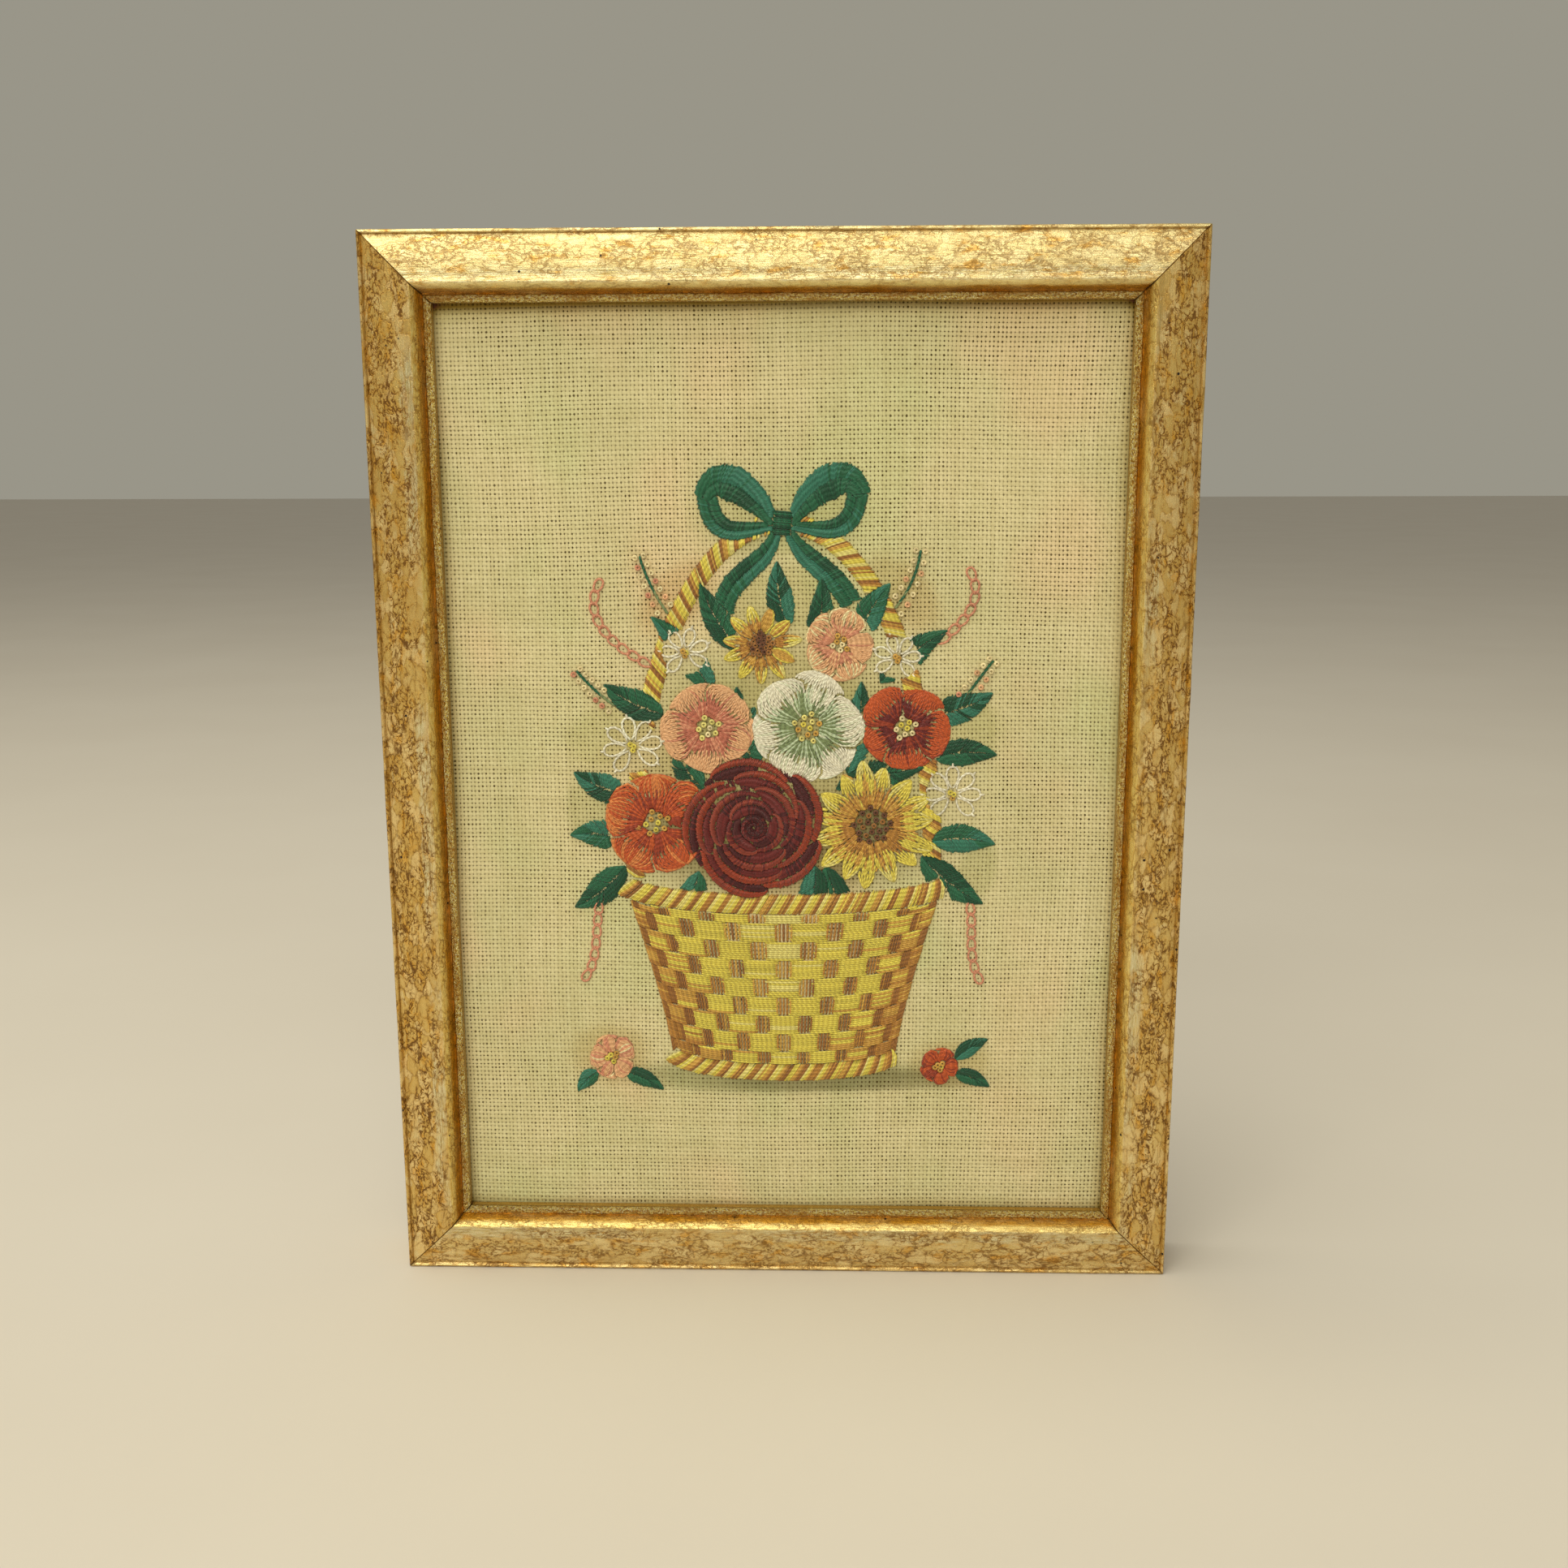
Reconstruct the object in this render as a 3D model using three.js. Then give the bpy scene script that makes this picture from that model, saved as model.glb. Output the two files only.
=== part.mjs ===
import * as THREE from 'three';

// A small needlework picture in a gilded moulding, standing on its bottom edge.
// Millimetres, +Z up. The face looks towards -Y, and the origin is under the middle of the bottom edge.

// Driving dimensions
const FRAME_WIDTH = 148;
const FRAME_HEIGHT = 195.5;
const FRAME_DEPTH = 15;
const JOINT_GAP = 0.3;

// The moulding, measured inwards from its outer edge (across) and forwards from its back (rise)
const MOULDING_WIDTH = 12.3;
const REBATE_START = 7.3;
const SHOULDER_RISE = 10.4;
const CREST_RISE = FRAME_DEPTH;
const BEAD_RISE = 13.9;
const VALLEY_RISE = 12.3;
const SIGHT_BEAD_RISE = 12.85;
const LIP_RISE = 12.1;

// The mounted cloth
const LINEN_THICKNESS = 1.0;
const LINEN_SEGMENTS_ACROSS = 14;
const LINEN_SEGMENTS_UP = 20;
const COCKLE_DEPTH = 0.22;
const BOARD_THICKNESS = 3;

const COLOURS = {
  gilding: 0xc2a05c,
  linen: 0xd6c896,
  board: 0x9c8a6c,
};

const toDepth = (rise) => FRAME_DEPTH / 2 - rise;

// One outline point of the moulding's section for each row, from the back's outer corner round the face
const MOULDING_SECTION = [
  { across: 0, rise: 0 },
  { across: 0, rise: BEAD_RISE - 0.6 },
  { across: 0.1, rise: BEAD_RISE - 0.2 },
  { across: 0.35, rise: BEAD_RISE },
  { across: 0.6, rise: BEAD_RISE - 0.1 },
  { across: 0.8, rise: BEAD_RISE - 0.45 },
  { across: 1.1, rise: BEAD_RISE - 0.3 },
  { across: 2.4, rise: BEAD_RISE + 0.12 },
  { across: 4.0, rise: BEAD_RISE + 0.5 },
  { across: 5.6, rise: BEAD_RISE + 0.75 },
  { across: 7.0, rise: BEAD_RISE + 0.85 },
  { across: 8.1, rise: CREST_RISE - 0.22 },
  { across: 8.9, rise: CREST_RISE - 0.04 },
  { across: 9.15, rise: CREST_RISE },
  { across: 9.4, rise: CREST_RISE - 0.15 },
  { across: 9.7, rise: CREST_RISE - 0.45 },
  { across: 10.0, rise: CREST_RISE - 0.9 },
  { across: 10.3, rise: CREST_RISE - 1.55 },
  { across: 10.55, rise: VALLEY_RISE + 0.4 },
  { across: 10.75, rise: VALLEY_RISE },
  { across: 11.1, rise: SIGHT_BEAD_RISE - 0.25 },
  { across: 11.6, rise: SIGHT_BEAD_RISE },
  { across: 12.1, rise: LIP_RISE + 0.4 },
  { across: MOULDING_WIDTH, rise: LIP_RISE },
  { across: MOULDING_WIDTH, rise: SHOULDER_RISE },
  { across: REBATE_START, rise: SHOULDER_RISE },
  { across: REBATE_START, rise: 0 },
];

function finish(colour, roughness, metalness) {
  return new THREE.MeshStandardMaterial({ color: colour, roughness, metalness });
}

// A length of moulding along X. Its outer edge lies on Z = 0 and its sight edge is above. Both ends are
// mitred: a point stops short of the outer corner by its own distance across, and by half of the joint's gap.
function mouldingLength(outerLength) {
  const section = new THREE.Shape(MOULDING_SECTION.map((p) => new THREE.Vector2(p.across, p.rise)));
  const geometry = new THREE.ExtrudeGeometry(section, { depth: 1, steps: 1, bevelEnabled: false });
  const place = geometry.attributes.position;
  const setback = (JOINT_GAP / 2) * Math.SQRT2;
  for (let i = 0; i < place.count; i++) {
    const across = place.getX(i);
    const rise = place.getY(i);
    const side = place.getZ(i) > 0.5 ? 1 : -1;
    place.setXYZ(i, side * (outerLength / 2 - across - setback), toDepth(rise), across);
  }
  geometry.computeVertexNormals();
  return geometry;
}

function mouldingRails() {
  const rails = new THREE.Group();
  const material = finish(COLOURS.gilding, 0.38, 0.6);
  const rows = [
    { name: 'rail_bottom', length: FRAME_WIDTH, x: 0, z: 0, turn: 0 },
    { name: 'rail_top', length: FRAME_WIDTH, x: 0, z: FRAME_HEIGHT, turn: Math.PI },
    { name: 'rail_left', length: FRAME_HEIGHT, x: -FRAME_WIDTH / 2, z: FRAME_HEIGHT / 2, turn: Math.PI / 2 },
    { name: 'rail_right', length: FRAME_HEIGHT, x: FRAME_WIDTH / 2, z: FRAME_HEIGHT / 2, turn: -Math.PI / 2 },
  ];
  for (const row of rows) {
    const rail = new THREE.Mesh(mouldingLength(row.length), material.clone());
    rail.name = row.name;
    rail.position.set(row.x, 0, row.z);
    rail.rotation.y = row.turn;
    rails.add(rail);
  }
  return rails;
}

// The size of what lies in the rebate, clear of its walls
const REBATE_FILL = {
  width: FRAME_WIDTH - 2 * (REBATE_START + JOINT_GAP),
  height: FRAME_HEIGHT - 2 * (REBATE_START + JOINT_GAP),
};

// How far the stretched cloth stands behind its flat plane: soft, uneven waves that die out under the lip
function cockle(x, z) {
  const sightX = FRAME_WIDTH / 2 - MOULDING_WIDTH;
  const sightZ = FRAME_HEIGHT / 2 - MOULDING_WIDTH;
  const fade = (t) => THREE.MathUtils.smoothstep(1 - Math.abs(t), 0, 0.25);
  const waves = 0.5 * Math.sin(x / 13 + 0.8 * Math.sin(z / 31)) + 0.5 * Math.sin(z / 19 + x / 41 + 1.1);
  return COCKLE_DEPTH * waves * fade(x / sightX) * fade(z / sightZ);
}

function linenSheet() {
  const geometry = new THREE.BoxGeometry(
    REBATE_FILL.width, LINEN_THICKNESS, REBATE_FILL.height, LINEN_SEGMENTS_ACROSS, 1, LINEN_SEGMENTS_UP);
  const place = geometry.attributes.position;
  for (let i = 0; i < place.count; i++) {
    place.setY(i, place.getY(i) + cockle(place.getX(i), place.getZ(i)));
  }
  geometry.computeVertexNormals();
  const linen = new THREE.Mesh(geometry, finish(COLOURS.linen, 0.9, 0));
  linen.name = 'linen';
  linen.position.set(0, toDepth(SHOULDER_RISE - JOINT_GAP - LINEN_THICKNESS / 2), FRAME_HEIGHT / 2);
  return linen;
}

function mountBoard() {
  const front = SHOULDER_RISE - 2 * JOINT_GAP - LINEN_THICKNESS - COCKLE_DEPTH;
  const geometry = new THREE.BoxGeometry(REBATE_FILL.width, BOARD_THICKNESS, REBATE_FILL.height);
  const board = new THREE.Mesh(geometry, finish(COLOURS.board, 0.9, 0));
  board.name = 'mount_board';
  board.position.set(0, toDepth(front - BOARD_THICKNESS / 2), FRAME_HEIGHT / 2);
  return board;
}

const picture = new THREE.Group();
picture.add(mouldingRails(), linenSheet(), mountBoard());

export default picture;
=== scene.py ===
import math

import bmesh
import bpy
import numpy as np
from mathutils import Matrix, Vector, noise


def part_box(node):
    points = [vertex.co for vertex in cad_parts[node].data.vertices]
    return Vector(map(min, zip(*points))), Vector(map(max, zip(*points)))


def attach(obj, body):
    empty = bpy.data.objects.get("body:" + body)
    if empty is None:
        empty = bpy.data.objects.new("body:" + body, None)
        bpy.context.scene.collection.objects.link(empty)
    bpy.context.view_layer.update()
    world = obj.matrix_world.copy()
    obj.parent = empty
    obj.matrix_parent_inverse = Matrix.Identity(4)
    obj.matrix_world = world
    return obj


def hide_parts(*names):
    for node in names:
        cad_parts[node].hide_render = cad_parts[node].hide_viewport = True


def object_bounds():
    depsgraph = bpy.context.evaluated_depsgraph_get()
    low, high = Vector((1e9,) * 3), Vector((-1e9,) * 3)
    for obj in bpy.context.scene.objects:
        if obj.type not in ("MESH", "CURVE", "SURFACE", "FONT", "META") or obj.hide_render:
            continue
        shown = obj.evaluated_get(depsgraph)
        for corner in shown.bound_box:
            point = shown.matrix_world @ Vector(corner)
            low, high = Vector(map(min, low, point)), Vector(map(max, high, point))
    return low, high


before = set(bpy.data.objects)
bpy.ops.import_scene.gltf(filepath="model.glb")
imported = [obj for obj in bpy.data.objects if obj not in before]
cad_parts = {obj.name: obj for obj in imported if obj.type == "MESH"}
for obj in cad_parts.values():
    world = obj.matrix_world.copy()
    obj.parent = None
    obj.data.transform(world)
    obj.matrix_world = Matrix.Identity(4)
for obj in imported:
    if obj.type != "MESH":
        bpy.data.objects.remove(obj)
cad_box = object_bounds()

# A small needlework picture in a gilded moulding. Sizes are in millimetres, and MM turns them into metres.
# On the cloth, a point is given by its distances right of and above the middle of the picture.
MM = 0.001
SEED = 1847

# The photo's camera, fitted to the moulding's outer and sight corners, in pixels, millimetres and degrees.
# It is placed from the middle of the outer bead's front.
PHOTO_PIXELS = 1932
FOCAL_PIXELS = 2000
SENSOR_WIDTH = 36
CAMERA_RIGHT, CAMERA_UP, CAMERA_OUT = 8.6, 58.9, 292.9
CAMERA_PITCH, CAMERA_YAW, CAMERA_ROLL = 11.43, -1.63, 0.175

# The picture as a whole, from the frame
FRAME_LOW = Vector(cad_box[0]) / MM
FRAME_HIGH = Vector(cad_box[1]) / MM
FRAME_WIDTH = FRAME_HIGH.x - FRAME_LOW.x
FRAME_HEIGHT = FRAME_HIGH.z - FRAME_LOW.z
FRAME_DEPTH = FRAME_HIGH.y - FRAME_LOW.y
MIDDLE_HEIGHT = FRAME_HEIGHT / 2

# The moulding's section: in from the outer edge (across) and forward from the back (rise)
MOULDING_WIDTH = 12.3
REBATE_START = 7.3
SHOULDER_RISE = 10.4
CREST_RISE = 15.0
BEAD_RISE = 13.9
VALLEY_RISE = 12.3
SIGHT_BEAD_RISE = 12.85
LIP_RISE = 12.1
FACE_LINE = [
    (0.0, BEAD_RISE - 0.6), (0.1, BEAD_RISE - 0.2), (0.35, BEAD_RISE), (0.6, BEAD_RISE - 0.1),
    (0.8, BEAD_RISE - 0.45), (1.1, BEAD_RISE - 0.3), (2.4, BEAD_RISE + 0.12), (4.0, BEAD_RISE + 0.5),
    (5.6, BEAD_RISE + 0.75), (7.0, BEAD_RISE + 0.85), (8.1, CREST_RISE - 0.22), (8.9, CREST_RISE - 0.04),
    (9.15, CREST_RISE), (9.4, CREST_RISE - 0.15), (9.7, CREST_RISE - 0.45), (10.0, CREST_RISE - 0.9),
    (10.3, CREST_RISE - 1.55), (10.55, VALLEY_RISE + 0.4), (10.75, VALLEY_RISE),
    (11.1, SIGHT_BEAD_RISE - 0.25), (11.6, SIGHT_BEAD_RISE), (12.1, LIP_RISE + 0.4),
    (MOULDING_WIDTH, LIP_RISE),
]
FACE_STEP = 0.3
STATION_STEP = 0.46
MITRE_GAP = 0.02
ARRIS = 0.14
SIGHT_BEAD_START = 10.7
MITRE_SHADE = 0.5
RAIL_SPACING = 331

# The bands of the gilding, by where they start and end across the section
GROOVE_EDGES = (0.68, 0.92)
CRACKLED_EDGES = (2.8, 5.6)
SILVER_EDGES = (6.8, 9.2)
COVE_EDGES = (9.2, 10.3)
VALLEY_EDGES = (10.05, 11.05)
SIGHT_BEAD_EDGES = (11.0, 12.6)
LIP_EASE = (12.2, 12.5)
CREST_EASE = (9.3, 7.6)

# How many of the gilding's cells and dirt spots there are to a millimetre, along and across
CELL_SCALE = (0.33, 0.56, 1)
SMALL_CELL_SCALE = (0.8, 1.25, 1)
SPOT_SCALE = (0.42, 0.42, 1)

# The cloth: a plain weave, with one grid line for each thread
CLOTH_LOW, CLOTH_HIGH = (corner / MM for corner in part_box("linen"))
CLOTH_WIDTH = CLOTH_HIGH.x - CLOTH_LOW.x
CLOTH_HEIGHT = CLOTH_HIGH.z - CLOTH_LOW.z
CLOTH_RISE = 10.1
CLOTH_THICKNESS = 0.9
THREADS_ACROSS = 183
THREADS_UP = 223
COCKLE_DEPTH = 0.22
COCKLE_FADE = 0.25
SIGHT_HALF_WIDTH = FRAME_WIDTH / 2 - MOULDING_WIDTH
SIGHT_HALF_HEIGHT = FRAME_HEIGHT / 2 - MOULDING_WIDTH
CROSSING_LIFT = 0.03
PINHOLE_DEPTH = 0.09
THREAD_JITTER = 0.025
FLAT_RIM = 0.497
TINT_REACH, TINT_FADE = 1.25, 0.6
# Painted shade on the cloth beside the lip: how much more each colour loses there, and the most it loses
LIP_SHADE_TINT = np.array([1.0, 1.2, 1.6])
DARKEST_LIP_SHADE = 0.92

# The needlework: one strand of cotton, and how closely its stitches lie
STRAND_WIDTH = 0.43
STRAND_TALL = 0.32
STRAND_PITCH = 0.36
LONG_STITCH = 3.3
STRAND_SIDES = 6
TWIST_PITCH = 0.9
KNOT_SIZE = 1.15
CHAIN_LINK, CHAIN_WIDTH = 2.3, 1.5
CURVE_POINTS = 41
HEART_SHARE = 0.27
END_DEPTH = 0.14
SHORTEST_STITCH = 0.6
SUNFLOWER_TURN = 2.39996
FLAT_STATIONS = np.array([0, 0.05, 0.2, 0.5, 0.8, 0.95, 1])
LOOP_STATIONS = np.linspace(0, 1, 15)
MASK_CELL = 0.2
MASK_REACH = np.array([46.0, 68.0])

# The basket that is sewn on the cloth
BASKET_TOP, BASKET_FOOT = -21.0, -54.0
BASKET_TOP_HALF, BASKET_FOOT_HALF = 30.0, 21.5
BASKET_SAG = 3.4
BASKET_BEND = 1.25
BASKET_FLARE = 1.25
BASKET_STAKES = 15
STAKE_SPACING = 2 / BASKET_STAKES
BASKET_ROWS = 9
BLOCK_STRANDS = 9
CANE_TWIST = 2.9

# Thread colours, as sRGB
THREADS = {
    "straw": (232, 216, 92),
    "straw_pale": (240, 229, 138),
    "ochre": (214, 168, 78),
    "ochre_deep": (188, 134, 60),
    "tan": (160, 108, 52),
    "brown": (112, 68, 42),
    "burgundy": (112, 34, 34),
    "burgundy_dark": (78, 20, 26),
    "auburn": (146, 60, 44),
    "rust": (204, 92, 44),
    "rust_pale": (226, 138, 76),
    "rust_dark": (160, 62, 36),
    "green_dark": (18, 78, 54),
    "green": (34, 104, 74),
    "teal": (52, 124, 104),
    "sage": (132, 150, 104),
    "mint_white": (228, 232, 206),
    "white": (246, 242, 222),
    "mint": (196, 214, 180),
    "cream": (244, 228, 178),
    "peach": (238, 186, 140),
    "pink": (222, 152, 122),
    "pink_deep": (200, 118, 96),
}


def linear(colour):
    """An sRGB colour from 0 to 255 as linear light from 0 to 1."""
    share = np.asarray(colour, float) / 255
    return np.where(share <= 0.04045, share / 12.92, ((share + 0.055) / 1.055) ** 2.4)


def shade(*colour):
    return tuple(float(x) for x in linear(colour)) + (1.0,)


def depth_of(rise):
    """The Y of a point that stands that far forward of the moulding's back."""
    return FRAME_DEPTH / 2 - rise


def running_length(points):
    """How far along a line each of its points lies."""
    return np.concatenate([[0], np.cumsum(np.hypot(*np.diff(points, axis=0).T))])


def beside(points):
    """The unit vector a quarter turn on from a line's own direction, at each of its points."""
    lean = np.gradient(points, axis=0)
    lean /= np.linalg.norm(lean, axis=1)[:, None]
    return np.column_stack([-lean[:, 1], lean[:, 0]])


def heading(degrees):
    """The unit vector at that angle, and the one a quarter turn on from it."""
    angle = math.radians(degrees)
    return np.array([math.cos(angle), math.sin(angle)]), np.array([-math.sin(angle), math.cos(angle)])


def ring_round(centre, radius, step):
    """Points on a circle, a step of so many degrees apart."""
    angles = np.radians(np.arange(0, 360, step))
    return np.asarray(centre) + radius * np.column_stack([np.cos(angles), np.sin(angles)])


def eased(share):
    """A share from 0 to 1 that leaves both ends softly."""
    t = np.clip(share, 0, 1)
    return t * t * (3 - 2 * t)


def cockle(right, up):
    """How far the stretched cloth stands behind its flat plane, as its solid does."""
    waves = 0.5 * np.sin(right / 13 + 0.8 * np.sin(up / 31)) + 0.5 * np.sin(up / 19 + right / 41 + 1.1)
    fade_aside = eased((1 - np.abs(right / SIGHT_HALF_WIDTH)) / COCKLE_FADE)
    fade_up = eased((1 - np.abs(up / SIGHT_HALF_HEIGHT)) / COCKLE_FADE)
    return COCKLE_DEPTH * waves * fade_aside * fade_up


# Making materials and meshes

class Finish:
    """A material in the making. Each call adds what its name says and returns the socket that gives it."""

    def __init__(self, name):
        self.material = bpy.data.materials.new(name)
        self.material.use_nodes = True
        self.tree = self.material.node_tree
        self.shader = self.tree.nodes["Principled BSDF"]

    def feed(self, socket, value):
        if isinstance(value, bpy.types.NodeSocket):
            self.tree.links.new(value, socket)
        else:
            socket.default_value = value

    def add(self, kind, inputs, output=0, **settings):
        node = self.tree.nodes.new("ShaderNode" + kind)
        for name, value in settings.items():
            setattr(node, name, value)
        for key, value in inputs.items():
            self.feed(node.inputs[key], value)
        return node.outputs[output]

    def surface(self, **values):
        for name, value in values.items():
            self.feed(self.shader.inputs[name.replace("_", " ")], value)
        return self.material

    def uv(self, name):
        return self.add("UVMap", {}, uv_map=name)

    def attribute(self, name, output="Fac"):
        return self.add("Attribute", {}, output, attribute_name=name)

    def stretch(self, vector, factors):
        return self.add("VectorMath", {0: vector, 1: factors}, operation="MULTIPLY")

    def part(self, vector, letter):
        return self.add("SeparateXYZ", {0: vector}, letter)

    def join(self, x, y):
        return self.add("CombineXYZ", {0: x, 1: y})

    def noise(self, place, scale, detail=2.0, roughness=0.5, output="Fac"):
        vector = self.stretch(place, scale)
        inputs = {"Vector": vector, "Scale": 1.0, "Detail": detail, "Roughness": roughness}
        return self.add("TexNoise", inputs, output)

    def cells(self, place, scale, feature="F1", output="Distance"):
        inputs = {"Vector": self.stretch(place, scale), "Scale": 1.0}
        return self.add("TexVoronoi", inputs, output, feature=feature)

    def chance(self, vector, output="Value"):
        return self.add("TexWhiteNoise", {"Vector": vector}, output)

    def sum(self, first, second):
        return self.add("Math", {0: first, 1: second}, operation="ADD")

    def less(self, first, second):
        return self.add("Math", {0: first, 1: second}, operation="SUBTRACT")

    def times(self, first, second):
        return self.add("Math", {0: first, 1: second}, operation="MULTIPLY")

    def maths(self, operation, first, second=0.5):
        return self.add("Math", {0: first, 1: second}, operation=operation)

    def spread(self, value, low, high, to_low=0.0, to_high=1.0):
        """value, eased from low to high, as a share from to_low to to_high."""
        inputs = {"Value": value, "From Min": low, "From Max": high, "To Min": to_low, "To Max": to_high}
        return self.add("MapRange", inputs, interpolation_type="SMOOTHSTEP")

    def band(self, value, low, high, soft):
        """1 where value lies between low and high, easing to 0 over soft on both sides."""
        rising = self.spread(value, low - soft, low + soft)
        return self.less(rising, self.spread(value, high - soft, high + soft))

    def mix(self, share, first, second, blend="MIX"):
        inputs = {0: share, 6: first, 7: second}
        return self.add("Mix", inputs, 2, data_type="RGBA", blend_type=blend)

    def bump(self, height, depth, normal=None):
        """Relief of so many millimetres, on top of the relief that normal holds."""
        inputs = {"Height": height, "Distance": depth * MM, "Strength": 1.0}
        if normal is not None:
            inputs["Normal"] = normal
        return self.add("Bump", inputs)


def read_points(mesh):
    points = np.empty(len(mesh.vertices) * 3)
    mesh.vertices.foreach_get("co", points)
    return points.reshape(-1, 3)


def write_points(mesh, points):
    mesh.vertices.foreach_set("co", points.ravel())
    mesh.update()


def write_uv(mesh, name, values):
    """A UV map from one pair of numbers for each vertex."""
    corners = np.empty(len(mesh.loops), int)
    mesh.loops.foreach_get("vertex_index", corners)
    mesh.uv_layers.new(name=name).data.foreach_set("uv", values[corners].astype(np.float32).ravel())


def write_number(mesh, name, values):
    mesh.attributes.new(name, "FLOAT", "POINT").data.foreach_set("value", values.astype(np.float32))


def write_colour(mesh, name, colours):
    four = np.column_stack([colours, np.ones(len(colours))]).astype(np.float32)
    mesh.attributes.new(name, "FLOAT_COLOR", "POINT").data.foreach_set("color", four.ravel())


def take_number(mesh, name):
    """The numbers that its making left on the mesh's vertices, which are then taken off it."""
    values = np.empty(len(mesh.vertices))
    mesh.attributes[name].data.foreach_get("value", values)
    mesh.attributes.remove(mesh.attributes[name])
    return values


def finished_mesh(bm, name):
    mesh = bpy.data.meshes.new(name)
    bm.to_mesh(mesh)
    bm.free()
    return mesh


def put_in_scene(name, data):
    thing = bpy.data.objects.new(name, data)
    bpy.context.scene.collection.objects.link(thing)
    return thing


def new_piece(name, mesh, material):
    """A piece of the picture, which rides on the only body."""
    piece = put_in_scene(name, mesh)
    mesh.materials.append(material)
    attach(piece, "root")
    return piece


def shade_smooth(mesh, angle=None):
    mesh.polygons.foreach_set("use_smooth", np.ones(len(mesh.polygons), bool))
    if angle is not None:
        mesh.set_sharp_from_angle(angle=math.radians(angle))


# Camera, floor and light

def make_camera():
    data = bpy.data.cameras.new("photo_camera")
    data.sensor_width = SENSOR_WIDTH
    data.lens = SENSOR_WIDTH * FOCAL_PIXELS / PHOTO_PIXELS
    data.clip_start, data.clip_end = 0.01, 50
    camera = put_in_scene("photo_camera", data)
    upright = Matrix.Rotation(math.radians(90), 4, "X")
    yaw = Matrix.Rotation(math.radians(-CAMERA_YAW), 4, "Y")
    pitch = Matrix.Rotation(math.radians(-CAMERA_PITCH), 4, "X")
    roll = Matrix.Rotation(math.radians(-CAMERA_ROLL), 4, "Z")
    out = depth_of(BEAD_RISE) - CAMERA_OUT
    place = Matrix.Translation(Vector((CAMERA_RIGHT, out, MIDDLE_HEIGHT + CAMERA_UP)) * MM)
    camera.matrix_world = place @ upright @ yaw @ pitch @ roll
    bpy.context.scene.camera = camera


def soft_light(name, place, aim, size, watts, colour):
    """A soft light panel. Its place, what it is aimed at, and its width and height are in metres."""
    data = bpy.data.lights.new(name, "AREA")
    data.shape = "RECTANGLE"
    data.size, data.size_y = size
    data.energy = watts
    data.color = colour
    light = put_in_scene(name, data)
    light.location = place
    light.rotation_euler = (Vector(aim) - Vector(place)).to_track_quat("-Z", "Y").to_euler()


def make_stage():
    floor_finish = Finish("pale_floor")
    place = floor_finish.add("TexCoord", {}, "Object")
    cloud = floor_finish.noise(place, (9, 9, 9), detail=4)
    tone = floor_finish.mix(cloud, shade(214, 207, 199), shade(221, 215, 208))
    floor_finish.surface(Base_Color=tone, Roughness=0.8)
    bm = bmesh.new()
    bmesh.ops.create_grid(bm, x_segments=8, y_segments=8, size=6)
    mesh = finished_mesh(bm, "floor")
    mesh.materials.append(floor_finish.material)
    floor = put_in_scene("floor", mesh)

    world = bpy.context.scene.world or bpy.data.worlds.new("room_light")
    bpy.context.scene.world = world
    world.use_nodes = True
    sky = world.node_tree.nodes["Background"]
    sky.inputs["Color"].default_value = (1.0, 0.95, 0.78, 1)
    sky.inputs["Strength"].default_value = 0.32
    warm = (1.0, 0.945, 0.75)
    soft_light("ceiling_panel", (-0.34, -0.16, 1.32), (0, -0.05, 0.1), (1.0, 0.9), 10.0, warm)
    soft_light("lamp_in_front", (-0.2, -0.98, 0.80), (0, 0, 0.12), (1.15, 0.45), 6.6, warm)
    bpy.context.scene.view_settings.view_transform = "Standard"
    bpy.context.scene.view_settings.look = "None"


# The gilded moulding

def face_outline():
    """The face of the section as evenly spaced points on a smooth line through FACE_LINE."""
    knots = np.array(FACE_LINE)
    reach = running_length(knots)
    last = len(knots) - 1
    fine = []
    for i in range(last):
        before, after = max(i - 1, 0), min(i + 2, last)
        span = reach[i + 1] - reach[i]
        pull_out = (knots[i + 1] - knots[before]) * span / (reach[i + 1] - reach[before])
        pull_in = (knots[after] - knots[i]) * span / (reach[after] - reach[i])
        for t in np.linspace(0, 1, 12, endpoint=False):
            start_share = 2 * t**3 - 3 * t**2 + 1
            end_share = 3 * t**2 - 2 * t**3
            lean = (t**3 - 2 * t**2 + t) * pull_out + (t**3 - t**2) * pull_in
            fine.append(start_share * knots[i] + end_share * knots[i + 1] + lean)
    fine = np.array(fine + [knots[-1]])
    length = running_length(fine)
    even = np.linspace(0, length[-1], round(length[-1] / FACE_STEP) + 1)
    return np.column_stack([np.interp(even, length, fine[:, 0]), np.interp(even, length, fine[:, 1])])


def leaf_unevenness(along, across, seed):
    """How far the gilded surface stands proud of its true section at a point, by hand work and age."""
    broad = 0.05 * noise.noise(Vector((along / 11, across / 4, seed)))
    streak = 0.018 * noise.noise(Vector((along / 3, across / 0.5, seed + 7)))
    bead_share = min(max((across - SIGHT_BEAD_START) / 0.3, 0), 1)
    bead_share *= min(max((MOULDING_WIDTH - 0.05 - across) / 0.2, 0), 1)
    lumps = noise.noise(Vector((along / 0.75, across / 0.8, seed + 13)))
    dents = noise.noise(Vector((along / 2.3, across / 1.3, seed + 19)))
    return broad + streak + bead_share * (0.085 * lumps + 0.07 * dents)


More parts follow.
